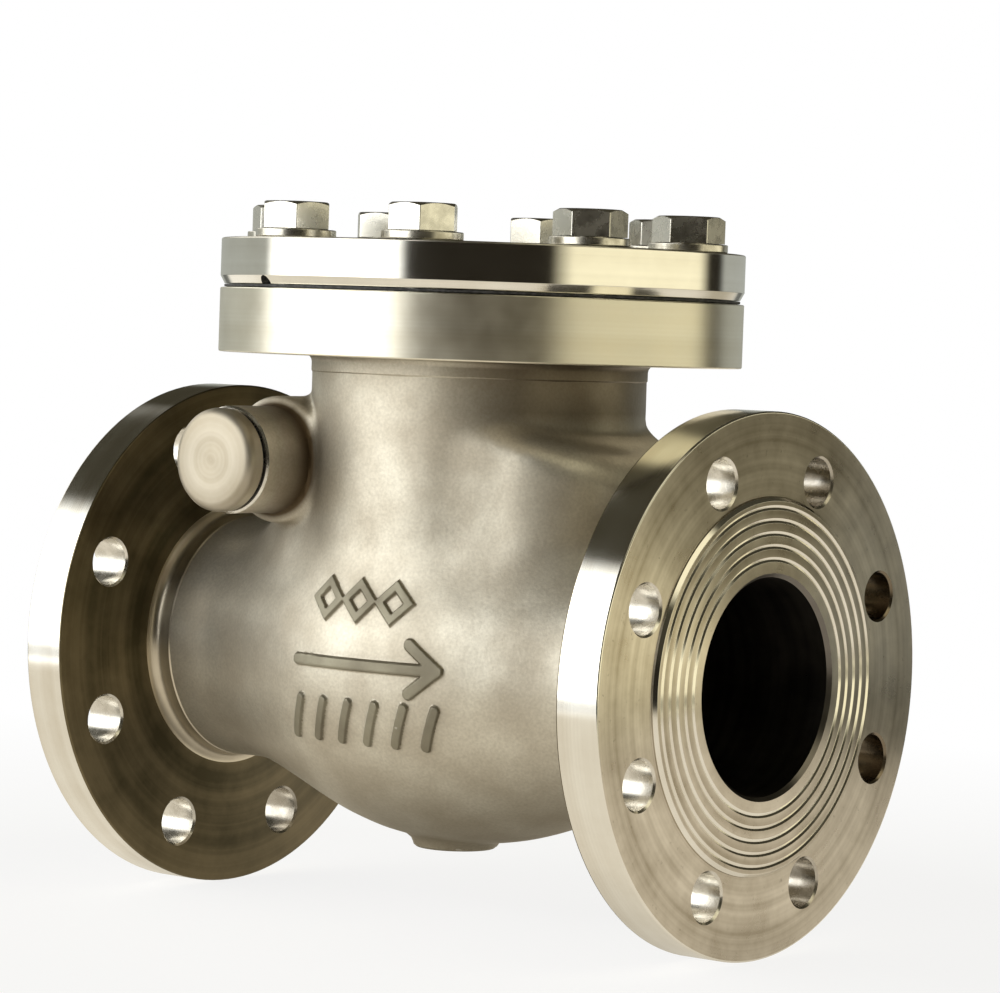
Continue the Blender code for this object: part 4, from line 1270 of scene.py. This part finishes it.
def make_floor():
    """A pale floor. The camera sees it nearly white, and the metal sees it a warm grey."""
    shape = bmesh.new()
    bmesh.ops.create_circle(shape, cap_ends=True, radius=4.0, segments=96)
    floor = bpy.data.objects.new("floor", to_mesh(shape, "floor"))
    bpy.context.scene.collection.objects.link(floor)
    made = bpy.data.materials.new("pale_floor")
    made.use_nodes = True
    tree = made.node_tree
    tree.nodes.remove(tree.nodes["Principled BSDF"])
    place = add_node(tree, "ShaderNodeTexCoord").outputs["Object"]
    away = vector_maths(tree, "LENGTH", place)
    lit = add_node(tree, "ShaderNodeBsdfDiffuse", {"Color": (0.22, 0.216, 0.208, 1.0)}).outputs[0]
    near_look = add_node(tree, "ShaderNodeAddShader", {0: lit, 1: glow(tree, 0.84)}).outputs[0]
    seen = mix_surfaces(tree, fade(tree, away, 0.25, 0.75), near_look, glow(tree, 1.0))
    shadow_size = (1 / 0.15, 1 / 0.10, 0.0)  # one over its half length and half width
    under = vector_maths(tree, "MULTIPLY", place, other=shadow_size)
    shadow = spread(tree, vector_maths(tree, "LENGTH", under), 0.35, 1.10, 0.35, 1.0)
    warm = glow(tree, shadow, (0.80, 0.74, 0.62, 1.0))
    open_end = add_node(tree, "ShaderNodeBsdfTransparent").outputs[0]
    mirrored = mix_surfaces(tree, fade(tree, away, 0.50, 0.62), warm, open_end)
    from_camera = add_node(tree, "ShaderNodeLightPath").outputs["Is Camera Ray"]
    whole = mix_surfaces(tree, from_camera, mirrored, seen)
    tree.links.new(whole, tree.nodes["Material Output"].inputs["Surface"])
    floor.data.materials.append(made)


def ramp_round(tree, azimuth, bands):
    """A colour for each direction round the object, from (degrees, colour) steps."""
    share = spread(tree, azimuth, -math.pi, math.pi, 0.0, 1.0)
    ramp = add_node(tree, "ShaderNodeValToRGB", {"Fac": share})
    steps = ramp.color_ramp.elements
    steps.remove(steps[-1])
    for index, (angle, colour) in enumerate(bands):
        position = (angle + 180) / 360
        step = steps[0] if index == 0 else steps.new(position)
        step.position = position
        step.color = (*colour, 1.0)
    return ramp.outputs["Color"]


def make_light():
    """Soft boxes and dark flags all round, as a sky that depends only on direction.

    Azimuth is 0 towards -Y and grows towards +X. The camera itself sees plain white.
    """
    world = bpy.data.worlds.new("studio")
    bpy.context.scene.world = world
    world.use_nodes = True
    tree = world.node_tree
    direction = add_node(tree, "ShaderNodeTexCoord").outputs["Generated"]
    parts = split_place(tree, direction)
    height = parts["Z"]
    towards_near = maths(tree, "MULTIPLY", parts["Y"], -1.0)
    azimuth = maths(tree, "ARCTAN2", parts["X"], towards_near)
    shade, grey, white = (0.02, 0.017, 0.012), (0.42, 0.43, 0.39), (2.6, 2.6, 2.5)
    cream, dusk, soft = (1.14, 1.06, 0.76), (0.05, 0.045, 0.03), (1.5, 1.48, 1.38)
    at_eye_level = ramp_round(tree, azimuth, [
        (-180, grey), (-70, grey), (-61, white), (-1, white), (6, shade), (68, shade),
        (78, cream), (147, cream), (155, shade), (164, shade), (170, grey), (180, grey),
    ])
    higher = ramp_round(tree, azimuth, [
        (-180, dusk), (-125, dusk), (-105, soft), (-70, soft), (-61, white), (-3, white),
        (17, dusk), (180, dusk),
    ])
    sky = blend(tree, fade(tree, height, 0.12, 0.24), at_eye_level, higher)
    overhead = ramp_round(tree, azimuth, [
        (-180, dusk), (50, dusk), (62, cream), (110, cream), (122, dusk),
    ])
    sky = blend(tree, fade(tree, height, 0.54, 0.64), sky, overhead)
    sky = blend(tree, fade(tree, height, 0.90, 0.94), sky, dusk)
    gap_height = -0.135  # a dark gap between the lights and the floor
    from_gap = maths(tree, "ABSOLUTE", maths(tree, "ADD", height, -gap_height))
    gap = spread(tree, from_gap, 0.030, 0.050, 0.65, 0.0)
    sky = blend(tree, gap, sky, (0.0, 0.0, 0.0))
    far_floor = spread(tree, height, -0.21, -0.17, 1.0, 0.0)
    bright_side, dark_side = (1.0, 0.95, 0.84), (0.46, 0.41, 0.31)
    floor_round = ramp_round(tree, azimuth, [
        (-180, dark_side), (-150, bright_side), (0, bright_side), (50, dark_side),
    ])
    sky = blend(tree, far_floor, sky, floor_round)
    from_camera = add_node(tree, "ShaderNodeLightPath").outputs["Is Camera Ray"]
    colour = blend(tree, from_camera, sky, (1.0, 1.0, 1.0))
    tree.links.new(colour, tree.nodes["Background"].inputs["Color"])


def make_camera():
    azimuth, elevation, roll = math.radians(38.45), math.radians(2.49), math.radians(2.01)
    distance, shift_right, shift_up = 1.491, 11.6 * MM, 61.6 * MM
    back = Vector((math.sin(azimuth) * math.cos(elevation),
                   -math.cos(azimuth) * math.cos(elevation), math.sin(elevation)))
    right = Vector((math.cos(azimuth), math.sin(azimuth), 0.0))
    up = back.cross(right)
    rolled_right = math.cos(roll) * right + math.sin(roll) * up
    rolled_up = math.cos(roll) * up - math.sin(roll) * right
    data = bpy.data.cameras.new("camera")
    data.sensor_width = 36.0
    data.lens = 139.8
    camera = bpy.data.objects.new("camera", data)
    place = FLOW_CENTRE + distance * back + shift_right * rolled_right + shift_up * rolled_up
    turn = Matrix((rolled_right, rolled_up, back)).transposed().to_4x4()
    camera.matrix_world = Matrix.Translation(place) @ turn
    bpy.context.scene.collection.objects.link(camera)
    bpy.context.scene.camera = camera


make_body()
make_cover()
make_cover_seal()
make_cover_bolts()
make_hinge_pieces()
make_seat()
make_arm()
make_stem_pieces(make_disc())
make_floor()
make_light()
make_camera()
bpy.context.scene.view_settings.view_transform = "Standard"
